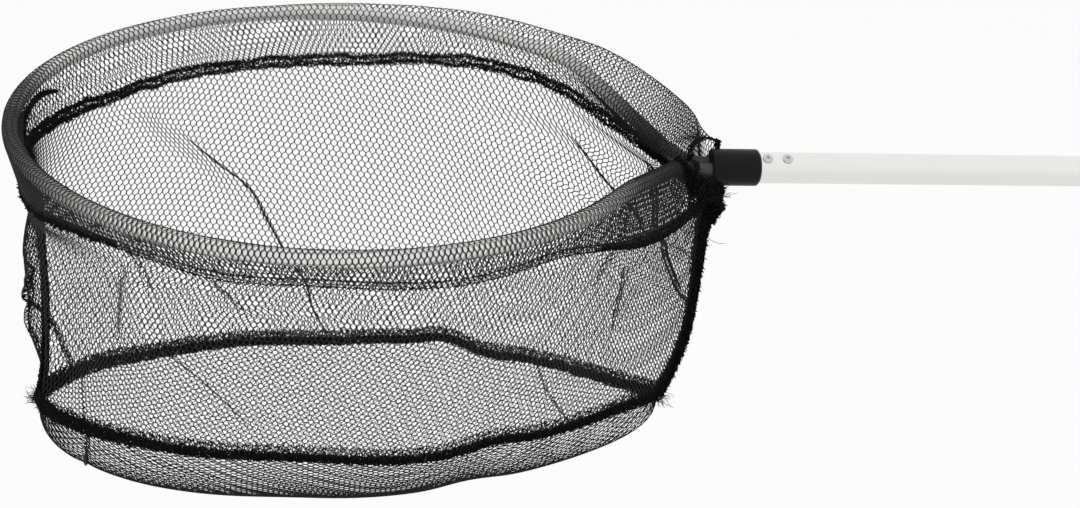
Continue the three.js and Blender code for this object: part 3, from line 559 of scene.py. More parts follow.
def sleeve_outlines(side):
    """The hem sleeve's outlines at stations from the tip to the ferrule, each from the seam out and round.

    Each outline is the tight loop round three circles: the hoop's tube, the same circle moved outwards where
    the sleeve is loose, and a small one at the hem seam, with points at even steps. Behind, the sleeve is
    loose up to its mouth at the ferrule, where the loose edge comes in and slides on along the pole, and the
    inner side swells upwards. In front it is tight, and its half at the ferrule hangs straight down from the
    tube.
    """
    line = hoop_line(SLEEVE_STEP)
    along = unit(np.gradient(line, axis=0))
    half = len(line) // 2
    pick = np.arange(half, -1, -1) if side == FRONT else np.arange(half, len(line))
    pick = pick[(line[pick, 0] < HOOP_CENTRE) | (np.abs(line[pick, 1]) > SLEEVE_END_Y[side])]
    place, along = line[pick], along[pick]
    ahead = (place[:, 0] - HEM_X) / HEM_HALF_LENGTH
    angle = np.arctan2(np.abs(place[:, 1]) / HEM_HALF_WIDTH[side], ahead)
    if side == FRONT:
        angle = np.where(ahead > 0.0, np.arccos(np.clip(ahead, 0.0, 1.0)), angle)
    foot = hem_line(angle, side)
    down = foot - place
    down = unit(down - along * (down * along).sum(-1, keepdims=True))
    out = unit(np.cross(along, down))
    outward = unit(np.column_stack([-along[:, 1], along[:, 0], np.full(len(along), SLEEVE_LIFT)]))
    from_mouth = np.arange(len(place))[::-1] * SLEEVE_STEP
    closing = (1.0 - ease(from_mouth / MOUTH_RUN)) * (side == BACK)
    loose = np.maximum(smooth_line(angle, LOOSE_ANGLES, LOOSE_SIZES), 0.0) * (side == BACK)
    edge = place + outward * (loose * (1.0 - (1.0 - MOUTH_SHARE) * closing))[:, None]
    edge[:, 0] += MOUTH_SLIDE * closing
    round_tube = HOOP_TUBE_D / 2.0 + SLEEVE_GAP
    centres = np.stack([place, edge, foot], axis=1)
    radii = np.array([round_tube, round_tube, SLEEVE_FOOT_ROUND])
    turn = np.linspace(0.0, 2.0 * np.pi, OUTLINE_STEPS)
    way = np.cos(turn)[None, :, None] * down[:, None] + np.sin(turn)[None, :, None] * out[:, None]
    reach = np.einsum("scx,stx->stc", centres, way) + radii
    best = reach.argmax(axis=-1)
    loops = np.take_along_axis(centres, best[..., None], axis=1) + radii[best][..., None] * way
    run = run_along(loops)
    share = np.linspace(0.0, 1.0, OUTLINE_STEPS)
    loops = look_up(share * run[:, -1:], np.arange(len(loops))[:, None], run, loops)
    swell = closing[:, None] ** 2 * bell((share - MOUTH_TOP) / MOUTH_WIDE)
    return loops + swell[..., None] * np.array(MOUTH_SWELL)


# In gathered netting: the lattice's form, and the random steps along it and up it
BUNCH_PILLAR, BUNCH_LEAN = 0.6, 0.1
BUNCH_SHIFT, BUNCH_STRAY, BUNCH_STRAY_LEAST = 0.3, 0.35, 0.1


def bunched(path, up, band, radius, rng):
    """Netting gathered into a band along a path: layers of close lattice whose threads wander at random.

    The band's widths are given at even steps along the path. Each thread's places along the path, up the band
    and out of it get a random step, so the holes close up.
    """
    wide, layers, pitch, row_step, wander = band
    run = run_along(path)
    _, up, side = frames(path, up)
    widths = np.interp(run, np.linspace(0.0, run[-1], len(wide)), wide)
    known = np.column_stack([path, up, side, widths])
    rows = max(int(round(max(wide) / row_step)), 2)
    points, normals = [], []
    for _ in range(layers):
        across, level = lattice(0.0, run[-1], rows, pitch, row_step, BUNCH_PILLAR, BUNCH_LEAN)
        at = across + rng.normal(0.0, BUNCH_SHIFT * pitch, across.shape)
        found = look_up(at, 0, run[None], known[None])
        place, rise_way, out_way, width = np.split(found, [3, 6, 9], axis=-1)
        stray = rng.normal(0.0, (BUNCH_STRAY * row_step + BUNCH_STRAY_LEAST) / max(wide), across.shape)
        rise = (level[:, None] / level[-1] - 0.5 + stray)[..., None] * width
        out = rng.normal(0.0, wander, across.shape)[..., None]
        points.append(place + rise_way * rise + out_way * out)
        normals.append(out_way)
    return tubes(np.concatenate(points, axis=1), np.concatenate(normals, axis=1), radius)


HAIR_STEPS, HAIR_SHORTEST, HAIR_CURL, HAIR_TAPER = 5, 0.4, 0.35, 0.5


def hairs(starts, ways, length, radius, rng):
    """Loose thread ends: each leaves its start along its way, curls aside at random and gets thinner."""
    t = np.linspace(0.0, 1.0, HAIR_STEPS)[:, None, None]
    size = length * rng.uniform(HAIR_SHORTEST, 1.0, (1, len(starts), 1))
    bend = rng.normal(0.0, HAIR_CURL, (1, len(starts), 3))
    points = starts + size * (ways * t + bend * t * t)
    return tubes(points, rng.normal(0.0, 1.0, points.shape), radius * (1.0 - HAIR_TAPER * t[..., 0]))


def strands(*sets):
    """Sets of tubes as one set."""
    first = np.cumsum([0] + [len(points) for points, _, _ in sets[:-1]])
    points = np.concatenate([points for points, _, _ in sets])
    faces = np.concatenate([faces + start for (_, faces, _), start in zip(sets, first)])
    return points, faces, np.concatenate([maps for _, _, maps in sets])


# Shader nodes

class Wire:
    """A node's output, with Python's operators for sums on single values."""

    def __init__(self, finish, socket):
        self.finish, self.socket = finish, socket

    def sum_with(self, operation, first, second):
        """A Math node's result on two values."""
        return self.finish.add("ShaderNodeMath", {"operation": operation}, {0: first, 1: second})

    def __add__(self, other):
        return self.sum_with("ADD", self, other)

    def __radd__(self, other):
        return self.sum_with("ADD", other, self)

    def __sub__(self, other):
        return self.sum_with("SUBTRACT", self, other)

    def __rsub__(self, other):
        return self.sum_with("SUBTRACT", other, self)

    def __mul__(self, other):
        return self.sum_with("MULTIPLY", self, other)

    def __rmul__(self, other):
        return self.sum_with("MULTIPLY", other, self)


class Finish:
    """A node tree: one method adds every node, and the others name what they add."""

    def __init__(self, tree):
        self.tree = tree
        tree.nodes.clear()

    def add(self, kind, settings=None, sockets=None, output=0):
        """A new node: its settings are set first, then its sockets get values or wires."""
        node = self.tree.nodes.new(kind)
        for key, value in (settings or {}).items():
            setattr(node, key, value)
        for key, value in (sockets or {}).items():
            if isinstance(value, Wire):
                self.tree.links.new(value.socket, node.inputs[key])
            else:
                node.inputs[key].default_value = value
        return Wire(self, node.outputs[output]) if node.outputs else None

    def places(self, scale):
        """The piece's own coordinates, in metres, times a scale for each axis."""
        coords = self.add("ShaderNodeTexCoord", output="Object")
        return self.add("ShaderNodeMapping", None, {"Vector": coords, "Scale": scale})

    def noise(self, scale, detail=3.0, roughness=0.5):
        """Smooth noise from 0 to 1 with so many lumps to the metre along each axis."""
        return self.add("ShaderNodeTexNoise", None, {
            "Vector": self.places(scale), "Scale": 1.0, "Detail": detail, "Roughness": roughness})

    def blend(self, factor, first, second):
        """One colour passing into another."""
        return self.add("ShaderNodeMix", {"data_type": "RGBA"}, {0: factor, 6: first, 7: second}, output=2)

    def step(self, value, low, high):
        """0 where a value is low and 1 where it is high, smooth between."""
        return self.add("ShaderNodeMapRange", {"interpolation_type": "SMOOTHSTEP"}, {
            "Value": value, "From Min": low, "From Max": high})

    def bump(self, height, strength, distance):
        """A normal bent by a height, of which 1 stands for a distance in metres."""
        return self.add("ShaderNodeBump", None, {
            "Height": height, "Strength": strength, "Distance": distance})

    def surface(self, sockets):
        """The finished surface on the material's output."""
        shader = self.add("ShaderNodeBsdfPrincipled", None, sockets)
        self.add("ShaderNodeOutputMaterial", None, {"Surface": shader})


def shade(colour, factor):
    """A colour made lighter or darker, with its alpha."""
    return tuple(min(channel * factor, 1.0) for channel in tuple(colour)[:3]) + (1.0,)


def colours():
    """The scene's colours."""
    return bpy.context.scene.pond_net_colours


def sizes():
    """The scene's sizes, in metres."""
    return bpy.context.scene.pond_net_sizes


def in_mm(name):
    """One of the scene's sizes in millimetres."""
    return getattr(sizes(), name) / MM


def drawn_tube(nodes):
    """Satin drawn aluminium: fine streaks along the tube in colour and gloss, and faint die lines."""
    colour = colours().pole
    streaks = nodes.noise((5.0, 900.0, 900.0), 4.0, 0.6)
    cloud = nodes.noise((22.0, 60.0, 60.0), 3.0)
    nodes.surface({
        "Base Color": nodes.blend(streaks * 0.6 + cloud * 0.4, shade(colour, 0.93), shade(colour, 1.06)),
        "Metallic": 1.0,
        "Roughness": 0.26 + 0.2 * streaks,
        "Normal": nodes.bump(streaks, 0.12, 0.0002),
    })


# Along the hoop, where the painted shade at its tip gives way to the bright tube, and where painted shade
# darkens it towards the ends
HOOP_TIP_SHADE = {FRONT: (-408.0, -330.0), BACK: (-412.0, -392.0)}
HOOP_END_SHADE = {FRONT: (-105.0, -35.0), BACK: (-85.0, -38.0)}
# How bright the front gets beside the back, and where the one passes into the other
HOOP_POLISH_FRONT = 0.8
HOOP_BEHIND = (-10.0, 30.0)


def hoop_tube_painted_shade(nodes):
    """The hoop's tube: bright along both sides, with cloudy painted shade at the tip, and painted shade on
    its ends near the ferrule.

    In front it is polished metal, which mirrors the netting over it.
    """
    places = nodes.places((1.0, 1.0, 1.0))
    x, y = (nodes.add("ShaderNodeSeparateXYZ", None, {0: places}, output=axis) for axis in "XY")
    behind = nodes.step(y, *(place * MM for place in HOOP_BEHIND))

    def along(ranges):
        """A step along X, from its range in front to its range behind."""
        front, back = (
            nodes.step(x, *((HEAD_X + place) * MM for place in ranges[side]))
            for side in (FRONT, BACK)
        )
        return front + (back - front) * behind

    cloud = nodes.noise((40.0, 40.0, 40.0), 4.0, 0.6)
    most = HOOP_POLISH_FRONT + (1.0 - HOOP_POLISH_FRONT) * behind
    # Painted shade at the tip: along this the tube's colour passes from the dark tip colour to the bright
    # one, which also sets where the front mirrors
    polish_and_lit = along(HOOP_TIP_SHADE) * most * (1.0 - 0.2 * cloud)
    # Painted shade: the tube's colour darkens towards its ends at the ferrule, where it lies in shadow inside
    # the netting
    dark = along(HOOP_END_SHADE)
    mirror = polish_and_lit * (1.0 - behind) * (1.0 - dark)
    tip_shaded_colour = nodes.blend(polish_and_lit, shade(colours().hoop_tip_shade, 1.0), shade(colours().hoop, 1.0))
    tip_shaded_colour = nodes.blend(mirror, tip_shaded_colour, shade(colours().pole, 1.0))
    nodes.surface({
        "Base Color": nodes.blend(dark, tip_shaded_colour, shade(colours().hoop_end_shade, 1.0)),
        "Metallic": 0.2 + 0.7 * mirror,
        "Roughness": 0.55 + 0.16 * cloud - 0.75 * mirror,
        "Normal": nodes.bump(cloud, 0.05, 0.0004),
    })


def rivet_metal(nodes):
    """Rivet aluminium: duller than the pole, with small handling marks."""
    marks = nodes.noise((900.0, 900.0, 900.0), 5.0, 0.7)
    colour = colours().rivet
    nodes.surface({
        "Base Color": nodes.blend(marks, shade(colour, 0.75), shade(colour, 1.15)),
        "Metallic": 1.0,
        "Roughness": 0.28 + 0.25 * marks,
        "Normal": nodes.bump(marks, 0.2, 0.0001),
    })


def moulded_plastic(nodes):
    """Black moulded plastic: fine spark grain, with slightly greyer worn patches."""
    grain = nodes.noise((2600.0, 2600.0, 2600.0), 2.0)
    wear = nodes.noise((70.0, 70.0, 70.0), 5.0, 0.65)
    colour = colours().plastic
    nodes.surface({
        "Base Color": nodes.blend(wear, shade(colour, 0.75), shade(colour, 1.5)),
        "Specular IOR Level": 0.13,
        "Roughness": 0.3 + 0.2 * wear + 0.06 * grain,
        "Normal": nodes.bump(grain, 0.25, 0.0001),
    })


def closed_foam(nodes):
    """Black closed-cell foam: small round cells in the skin and a soft mottled colour."""
    cells = nodes.add("ShaderNodeTexVoronoi", {"feature": "SMOOTH_F1"},
                      {"Vector": nodes.places((1.0, 1.0, 1.0)), "Scale": 900.0})
    mottle = nodes.noise((160.0, 160.0, 160.0), 5.0, 0.6)
    colour = colours().foam
    nodes.surface({
        "Base Color": nodes.blend(mottle * 0.6 + cells * 0.5, shade(colour, 0.7), shade(colour, 1.7)),
        "Roughness": 0.8 + 0.15 * mottle,
        "Normal": nodes.bump(cells + mottle * 0.6, 0.5, 0.0004),
    })


def net_thread(nodes):
    """Black thread: brown and blue blacks mixed along it, with the fibres' fine ridges."""
    tint = nodes.noise((260.0, 260.0, 260.0), 3.0)
    fibre = nodes.noise((2400.0, 2400.0, 2400.0), 3.0, 0.6)
    dark, light = shade(colours().thread, 0.6), shade(colours().thread_light, 1.0)
    nodes.surface({
        "Base Color": nodes.blend(tint * 0.6 + fibre * 0.4, dark, light),
        "Specular IOR Level": 0.2,
        "Roughness": 0.5 + 0.25 * fibre,
        "Normal": nodes.bump(fibre, 0.4, 0.0001),
    })


def sewing_thread(nodes):
    """Overlocked sewing: deep black with fuzzy lighter fibres."""
    fibre = nodes.noise((1500.0, 1500.0, 1500.0), 4.0, 0.65)
    tint = nodes.noise((120.0, 120.0, 120.0), 3.0)
    colour = colours().sewing
    nodes.surface({
        "Base Color": nodes.blend(fibre * 0.6 + tint * 0.4, shade(colour, 0.6), shade(colour, 1.9)),
        "Specular IOR Level": 0.2,
        "Roughness": 0.7 + 0.25 * fibre,
        "Normal": nodes.bump(fibre, 0.7, 0.0004),
    })


# Each slot's material: its name and what makes it
FINISHES = {
    "pole_metal": ("pole_aluminium", drawn_tube),
    "hoop_metal": ("hoop_painted_shade", hoop_tube_painted_shade),
    "rivet_metal": ("rivet_aluminium", rivet_metal),
    "black_plastic": ("moulded_plastic", moulded_plastic),
    "foam": ("grip_foam", closed_foam),
    "netting": ("net_thread", net_thread),
    "sewing": ("sewing_thread", sewing_thread),
}


def finish(slot):
    """The material of a slot, made the first time that it is asked for."""
    name, maker = FINISHES[slot]
    material = bpy.data.materials.get(name)
    if material is None:
        material = bpy.data.materials.new(name)
        material.use_nodes = True
        maker(Finish(material.node_tree))
    return material


# Settings

def amount(name, description, default, **more):
    """A setting of one number."""
    return bpy.props.FloatProperty(name=name, description=description, default=default, **more)


def length(name, description, default):
    """A setting of a length, which is given in millimetres and kept in metres."""
    return amount(name, description, default * MM, min=0.0, unit="LENGTH", precision=5)


def tone(name, description, default):
    """A setting of a colour."""
    return bpy.props.FloatVectorProperty(
        name=name, description=description, default=default, size=3, min=0.0, max=1.0, subtype="COLOR")


class PondNetSizes(bpy.types.PropertyGroup):
    """Sizes of the netting and the hollow tubes."""

    pitch: length("Mesh pitch", "Distance between the upright threads in one row of holes", 4.25)
    row_step: length("Row step", "Distance from one row of holes to the next", 3.6)
    thread: length("Thread", "Thickness of one thread of the netting", 0.6)
    hem_thread: length("Hem thread", "Thickness of one thread where the netting covers the hoop", 0.5)
    inner_wall: length("Inner tube wall", "Wall of the inner pole tube", 1.0)
    outer_wall: length("Outer tube wall", "Wall of the outer pole tube", 0.8)


class PondNetColours(bpy.types.PropertyGroup):
    """Colours of the metals, plastics and threads."""

    pole: tone("Pole", "Satin aluminium of the pole", (0.82, 0.83, 0.79))
    hoop: tone("Hoop", "Bright aluminium of the hoop", (0.96, 0.97, 0.94))
    # Painted shade: this dark colour shades the hoop at its tip, and is not a film on the metal
    hoop_tip_shade: tone("Hoop, dull", "Dull film on the hoop", (0.14, 0.145, 0.13))
    # Painted shade: this dark colour shades the hoop's ends near the ferrule
    hoop_end_shade: tone("Hoop ends", "The hoop's darker ends", (0.05, 0.05, 0.05))
    rivet: tone("Rivets", "Aluminium of the rivets", (0.62, 0.63, 0.62))
    plastic: tone("Plastic", "Black moulded plastic", (0.006, 0.006, 0.0065))
    foam: tone("Foam", "Black foam of the grip", (0.018, 0.018, 0.019))
    thread: tone("Thread", "The netting's black", (0.012, 0.010, 0.012))
    thread_light: tone("Thread, lighter", "The netting's lighter fibres", (0.022, 0.018, 0.02))
    sewing: tone("Sewing", "The seams' black", (0.007, 0.006, 0.008))


class PondNetStage(bpy.types.PropertyGroup):
    """The camera, the floor and the light."""

    eye: bpy.props.FloatVectorProperty(
        name="Eye", description="Place of the camera", default=(-1.046, -1.0922, 0.4803), size=3,
        unit="LENGTH")
    turn: amount("Turn", "Camera's turn from straight across the pole", np.radians(-9.4), subtype="ANGLE")
    tilt: amount("Tilt", "How far the camera looks down", np.radians(26.0), subtype="ANGLE")
    roll: amount("Roll", "How far the camera leans", np.radians(-4.4), subtype="ANGLE")
    lens: amount("Lens", "Focal length on a 36 mm sensor", 66.67, subtype="DISTANCE_CAMERA")
    floor: amount("Floor", "Height of the floor", -0.8, unit="LENGTH")
    sky: amount("Sky", "Strength of the light from all round", 0.55, min=0.0)
    lamp: amount("Lamp", "Power of the large lamp over the net", 26.0, min=0.0, unit="POWER")


# Operators

class MakesPiece:
    """What the operators share: they can be undone."""

    bl_options = {"REGISTER", "UNDO"}


SENSOR_WIDTH, CLIP_END = 36.0, 50.0
WHITE, PALE = (1.0, 1.0, 1.0, 1.0), (0.8, 0.8, 0.8, 1.0)
# Half the floor's side in metres, and how much of it is plain white to the camera
FLOOR_HALF, FLOOR_WHITE = 6.0, 0.93
# Lamps: their name, place, share of the power and size, and the place that both look at, in metres
LAMPS = (
    ("lamp_over", (-0.9, 0.3, 2.4), 1.0, 3.6),
    ("lamp_front", (-1.6, -2.2, 1.2), 0.4, 2.6),
)
LAMP_AIM = (-0.9, 0.0, -0.05)


def aimed(name, data, columns):
    """A camera or lamp in the scene, from its three axes and its place."""
    obj = bpy.data.objects.new(name, data)
    obj.matrix_world = Matrix([*np.stack(columns, axis=1).tolist(), [0.0, 0.0, 0.0, 1.0]])
    bpy.context.scene.collection.objects.link(obj)
    return obj


class POND_NET_OT_stage(MakesPiece, bpy.types.Operator):
    """Make the camera, the pale floor, the white surroundings and the soft lamps"""

    bl_idname = "pond_net.stage"
    bl_label = "Stage"

    def execute(self, context):
        stage = context.scene.pond_net_stage
        self.camera(context, stage)
        self.world(context, stage)
        self.floor(context, stage)
        self.lamps(stage)
        context.scene.view_settings.view_transform = "Standard"
        return {"FINISHED"}

    def camera(self, context, stage):
        """Looks along a direction turned from +Y and tilted down, then leans about it."""
        ahead = np.array([
            -np.sin(stage.turn) * np.cos(stage.tilt),
            np.cos(stage.turn) * np.cos(stage.tilt),
            -np.sin(stage.tilt),
        ])
        right = np.array([np.cos(stage.turn), np.sin(stage.turn), 0.0])
        down = np.cross(ahead, right)
        leaned_right = np.cos(stage.roll) * right + np.sin(stage.roll) * down
        leaned_down = np.cos(stage.roll) * down - np.sin(stage.roll) * right
        data = bpy.data.cameras.new("camera")
        data.lens = stage.lens
        data.sensor_width = SENSOR_WIDTH
        data.clip_end = CLIP_END
        columns = [leaned_right, -leaned_down, -ahead, np.array(stage.eye)]
        context.scene.camera = aimed("camera", data, columns)

    def world(self, context, stage):
        """White to the camera and in reflections, and weaker as light on the object."""
        world = bpy.data.worlds.new("white_room")
        world.use_nodes = True
        nodes = Finish(world.node_tree)
        strength = stage.sky + (1.0 - stage.sky) * self.seen(nodes)
        light = nodes.add("ShaderNodeBackground", None, {"Color": WHITE, "Strength": strength})
        nodes.add("ShaderNodeOutputWorld", None, {"Surface": light})
        context.scene.world = world

    def seen(self, nodes):
        """1 for rays from the camera, off gloss and through glass."""
        rays = [nodes.add("ShaderNodeLightPath", output=name)
                for name in ("Is Camera Ray", "Is Glossy Ray", "Is Transmission Ray")]
        most = rays[0].sum_with("MAXIMUM", rays[0], rays[1])
        return most.sum_with("MAXIMUM", most, rays[2])

    def floor(self, context, stage):
        """A pale floor, nearly white to the camera, that keeps a faint shadow."""
        material = bpy.data.materials.new("pale_floor")
        material.use_nodes = True
        nodes = Finish(material.node_tree)
        plain = nodes.add("ShaderNodeBsdfDiffuse", None, {"Color": PALE})
        white = nodes.add("ShaderNodeEmission", None, {"Color": WHITE, "Strength": 1.0})
        shown = FLOOR_WHITE * self.seen(nodes)
        mixed = nodes.add("ShaderNodeMixShader", None, {0: shown, 1: plain, 2: white})
        nodes.add("ShaderNodeOutputMaterial", None, {"Surface": mixed})
        half, low = FLOOR_HALF / MM, stage.floor / MM
        corners = np.array([[-half, -half, low], [half, -half, low], [half, half, low], [-half, half, low]])
        mesh = put_mesh("floor", corners, [np.array([[0, 1, 2, 3]])])
        mesh.materials.append(material)
        floor = bpy.data.objects.new("floor", mesh)
        context.scene.collection.objects.link(floor)

    def lamps(self, stage):
        """A large soft lamp over the net and a weaker one on the camera's side."""
        for name, place, share, size in LAMPS:
            data = bpy.data.lights.new(name, "AREA")
            data.energy = stage.lamp * share
            data.size = size
            back = unit(np.array(place) - np.array(LAMP_AIM))
            right = unit(np.cross([0.0, 1.0, 0.0], back))
            lamp = aimed(name, data, [right, np.cross(back, right), back, np.array(place)])
            lamp.visible_glossy = False


def corners_of(node):
    """A node's lowest and highest corner."""
    return [np.array(corner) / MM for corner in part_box(node)]


def extent(node):
    """A node's first and last place along the pole, and its half width."""
    low, high = corners_of(node)
    return low[0], high[0], (high[1] - low[1]) / 2.0


HOOP_STEP, HOOP_SIDES = 2.5, 32


class POND_NET_OT_hoop(MakesPiece, bpy.types.Operator):
    """Make the hoop's bent tube"""

    bl_idname = "pond_net.hoop"
    bl_label = "Hoop"

    def execute(self, context):
        tube = swept(hoop_line(HOOP_STEP) + HEAD, UP, HOOP_SIDES, HOOP_TUBE_D / 2.0)
        solid("hoop_tube", tube, "head", "hoop_metal", "hoop")
        return {"FINISHED"}


# The room between pieces that fit together, and the small bore that stands for a solid middle
FIT, BORE = 0.25, 1.0
FERRULE_LENGTH, FERRULE_ROUNDS = 29.5, (0.2, 0.8, 1.8, 0.3, 0.6, 0.2)
SOCKET_RIM = ((-0.7, 4.75), (-0.7, 5.6), (0.5, 5.6), (0.5, 4.75))
SOCKET_RIM_ROUNDS, SOCKET_RIM_STEPS = (0.2, 0.4, 0.1, 0.1), 4
SOCKET_RIM_SIDES, SOCKET_RIM_SQUEEZE = 40, (1.0, 0.98, 1.0)
TUBE_SIDES, TUBE_ROUNDS = 128, (0.25, 0.3, 0.3, 0.25)
RIVET_SIDES, RIVET_ANGLE, RIVET_SINK = 40, np.radians(59.0), 0.05
RIVET_HEAD, RIVET_HEIGHT, RIVET_RIM, RIVET_DOME_STEPS = 3.2, 1.3, 0.45, 10
RIVET_PIT, RIVET_PIT_DEPTH, RIVET_SHANK, RIVET_TIP = 1.1, 1.0, 1.6, 3.5
# The pit's softened lip, how much narrower its floor is, and the mandrel's stub on that floor
PIT_LIP_DEPTH, PIT_LIP, PIT_TAPER = 0.15, 0.12, 0.15
STUB_FOOT, STUB_TOP, STUB_SHOULDER, STUB_HEIGHT = 0.55, 0.45, 0.35, 0.4


class POND_NET_OT_pole(MakesPiece, bpy.types.Operator):
    """Make the ferrule, the two tubes and the rivets"""

    bl_idname = "pond_net.pole"
    bl_label = "Pole"

    def execute(self, context):
        self.ferrule()
        self.tubes()
        self.rivets()
        return {"FINISHED"}

    def ferrule(self):
        """A collar with a spigot, and a low ring round each socket of the hoop."""
        x0, x1, radius = extent("ferrule")
        face = x0 + FERRULE_LENGTH
        spigot = extent("inner_tube")[2] - in_mm("inner_wall") - FIT
        outline = [(x0, BORE), (x0, radius), (face, radius), (face, spigot), (x1, spigot), (x1, BORE)]
        collar = turned(filleted(outline, FERRULE_ROUNDS))
        points, faces = turned(filleted(SOCKET_RIM, SOCKET_RIM_ROUNDS, SOCKET_RIM_STEPS), SOCKET_RIM_SIDES)
        rims = [(points * SOCKET_RIM_SQUEEZE + [x0, side * HOOP_END_Y, 0.0], faces) for side in (FRONT, BACK)]
        solid("ferrule_moulding", joined(collar, *rims), "head", "black_plastic", "ferrule")

    def tubes(self):
        """Two hollow tubes with softened ends."""
        for name, node, body, wall in (
            ("inner_pole", "inner_tube", "head", in_mm("inner_wall")),
            ("outer_pole", "outer_tube", "handle", in_mm("outer_wall")),
        ):
            x0, x1, radius = extent(node)
            bore = radius - wall
            outline = filleted([(x0, bore), (x0, radius), (x1, radius), (x1, bore)], TUBE_ROUNDS)
            solid(name, turned(outline, TUBE_SIDES), body, "pole_metal", node)

    def rivets(self):
        """Domed heads over the tube with a rim, and a pit where the mandrel broke off inside."""
        seat = extent("inner_tube")[2] - RIVET_SINK
        arc = np.linspace(0.0, np.pi / 2.0, RIVET_DOME_STEPS)
        dome = np.stack([
            seat + RIVET_RIM + (RIVET_HEIGHT - RIVET_RIM) * np.sin(arc),
            RIVET_PIT + (RIVET_HEAD - RIVET_PIT) * np.cos(arc),
        ], axis=-1)
        top = seat + RIVET_HEIGHT
        floor = top - RIVET_PIT_DEPTH
        profile = [
            (RIVET_TIP, 0.0), (RIVET_TIP, RIVET_SHANK), (seat, RIVET_SHANK), (seat, RIVET_HEAD), *dome,
            (top - PIT_LIP_DEPTH, RIVET_PIT - PIT_LIP), (floor, RIVET_PIT - PIT_TAPER), (floor, STUB_FOOT),
            (floor + STUB_SHOULDER, STUB_TOP), (floor + STUB_HEIGHT, 0.0),
        ]
        points, faces = turned_solid(profile, RIVET_SIDES)
        along = np.array([1.0, 0.0, 0.0])
        away = np.array([0.0, -np.cos(RIVET_ANGLE), np.sin(RIVET_ANGLE)])
        points = points @ np.stack([away, along, np.cross(along, away)])
        for name, node in (("rivet_head_front", "rivet_front"), ("rivet_head_rear", "rivet_rear")):
            x0, x1, _ = extent(node)
            solid(name, (points + along * (x0 + x1) / 2.0, faces), "head", "rivet_metal", node)


LOCK_NECK_STEP, LOCK_LIP, LOCK_ROUNDS = 1.75, 1.2, (0.2, 0.4, 0.2, 0.6, 1.2, 0.3)
NUT_CAVITY, NUT_NOSE, NUT_NOSE_STEP = 12.0, 3.2, 1.6
NUT_ROUNDS, NUT_ROWS, NUT_SHARP = (0.3, 2.2, 1.0, 0.3, 0.3, 0.3, 0.2), 12, 50.0
# The nut's ribs: their count, how deep and how steep the grooves are, and how they run out at the ends
NUT_RIBS, NUT_RIB_SIDES, NUT_RIB_DEPTH, NUT_RIB_STEEP = 14, 12, 1.0, 1.4
NUT_RIB_START, NUT_RIB_END, NUT_RIB_FADE, NUT_RIB_LEAST = 2.4, 1.2, 1.5, 0.25
NUT_SKIN = 2.5


class POND_NET_OT_lock(MakesPiece, bpy.types.Operator):
    """Make the twist lock's body and ribbed nut, and finish its hidden pieces"""

    bl_idname = "pond_net.lock"
    bl_label = "Twist lock"

    def execute(self, context):
        neck = extent("lock_body")[2] - LOCK_NECK_STEP
        self.body(neck)
        self.nut(neck + FIT)
        for node in ("lock_collet", "guide_plug"):
            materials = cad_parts[node].data.materials
            materials.clear()
            materials.append(finish("black_plastic"))
        return {"FINISHED"}

    def body(self, neck):
        """A sleeve on the outer tube's mouth, with a narrower neck that the nut turns on."""
        x0, x1, radius = extent("lock_body")
        bore = extent("outer_tube")[2] + FIT
        shoulder = extent("lock_nut")[1] + FIT
        outline = filleted([
            (x0, bore - LOCK_LIP), (x0, neck), (shoulder, neck),
            (shoulder, radius), (x1, radius), (x1, bore),
        ], LOCK_ROUNDS)
        solid("lock_sleeve", turned(outline), "handle", "black_plastic", "lock_body")

    def nut(self, hollow):
        """A ribbed cap that is hollow over the neck, with a nose round the inner tube."""
        x0, x1, radius = extent("lock_nut")
        nose = extent("inner_tube")[2] + FIT
        outline = filleted(
            [(x0, nose), (x0, radius), (x1, radius), (x1, hollow), (x0 + NUT_CAVITY, hollow),
             (x0 + NUT_NOSE, nose + NUT_NOSE_STEP), (x0 + NUT_NOSE, nose)],
            NUT_ROUNDS)

        def ribbed(x, r, angle):
            """Rounded grooves between the ribs, which run out towards both ends of the nut."""
            groove = ease(0.5 - NUT_RIB_STEEP * np.cos(NUT_RIBS * angle))
            reach = ease((x - x0 - NUT_RIB_START) / NUT_RIB_FADE)
            reach = reach * ease((x1 - NUT_RIB_END - x) / NUT_RIB_FADE)
            depth = NUT_RIB_DEPTH * groove * (NUT_RIB_LEAST + (1.0 - NUT_RIB_LEAST) * reach)
            return r - depth * (r > radius - NUT_SKIN)

        outside = np.flatnonzero(outline[:, 1] > radius - CLOSE)
        start, end = outside[0], outside[-1]
        share = np.linspace(0.0, 1.0, NUT_ROWS)[1:-1, None]
        rows = outline[start] * (1.0 - share) + outline[end] * share
        outline = np.concatenate([outline[:start + 1], rows, outline[end:]])
        shape = turned(outline, NUT_RIB_SIDES * NUT_RIBS, ribbed)
        solid("lock_knob", shape, "lock_nut", "black_plastic", "lock_nut", NUT_SHARP)


GRIP_GAP, GRIP_ROUNDS, GRIP_ROUND_STEPS = 0.1, (0.5, 3.0, 1.6, 0.5), 8
FLANGE_END, CAP_ROUNDS = 5.25, (0.3, 0.8, 0.2, 0.4, 1.4, 0.3)
EYE_HOLE, EYE_X, EYE_HALF, EYE_HALF_THICK, EYE_ROOT = 4.5, 79.25, 9.5, 3.5, 2.0
EYE_SIDES, EYE_ROUNDS = 96, (0.12, 0.12, 0.12, 0.12)


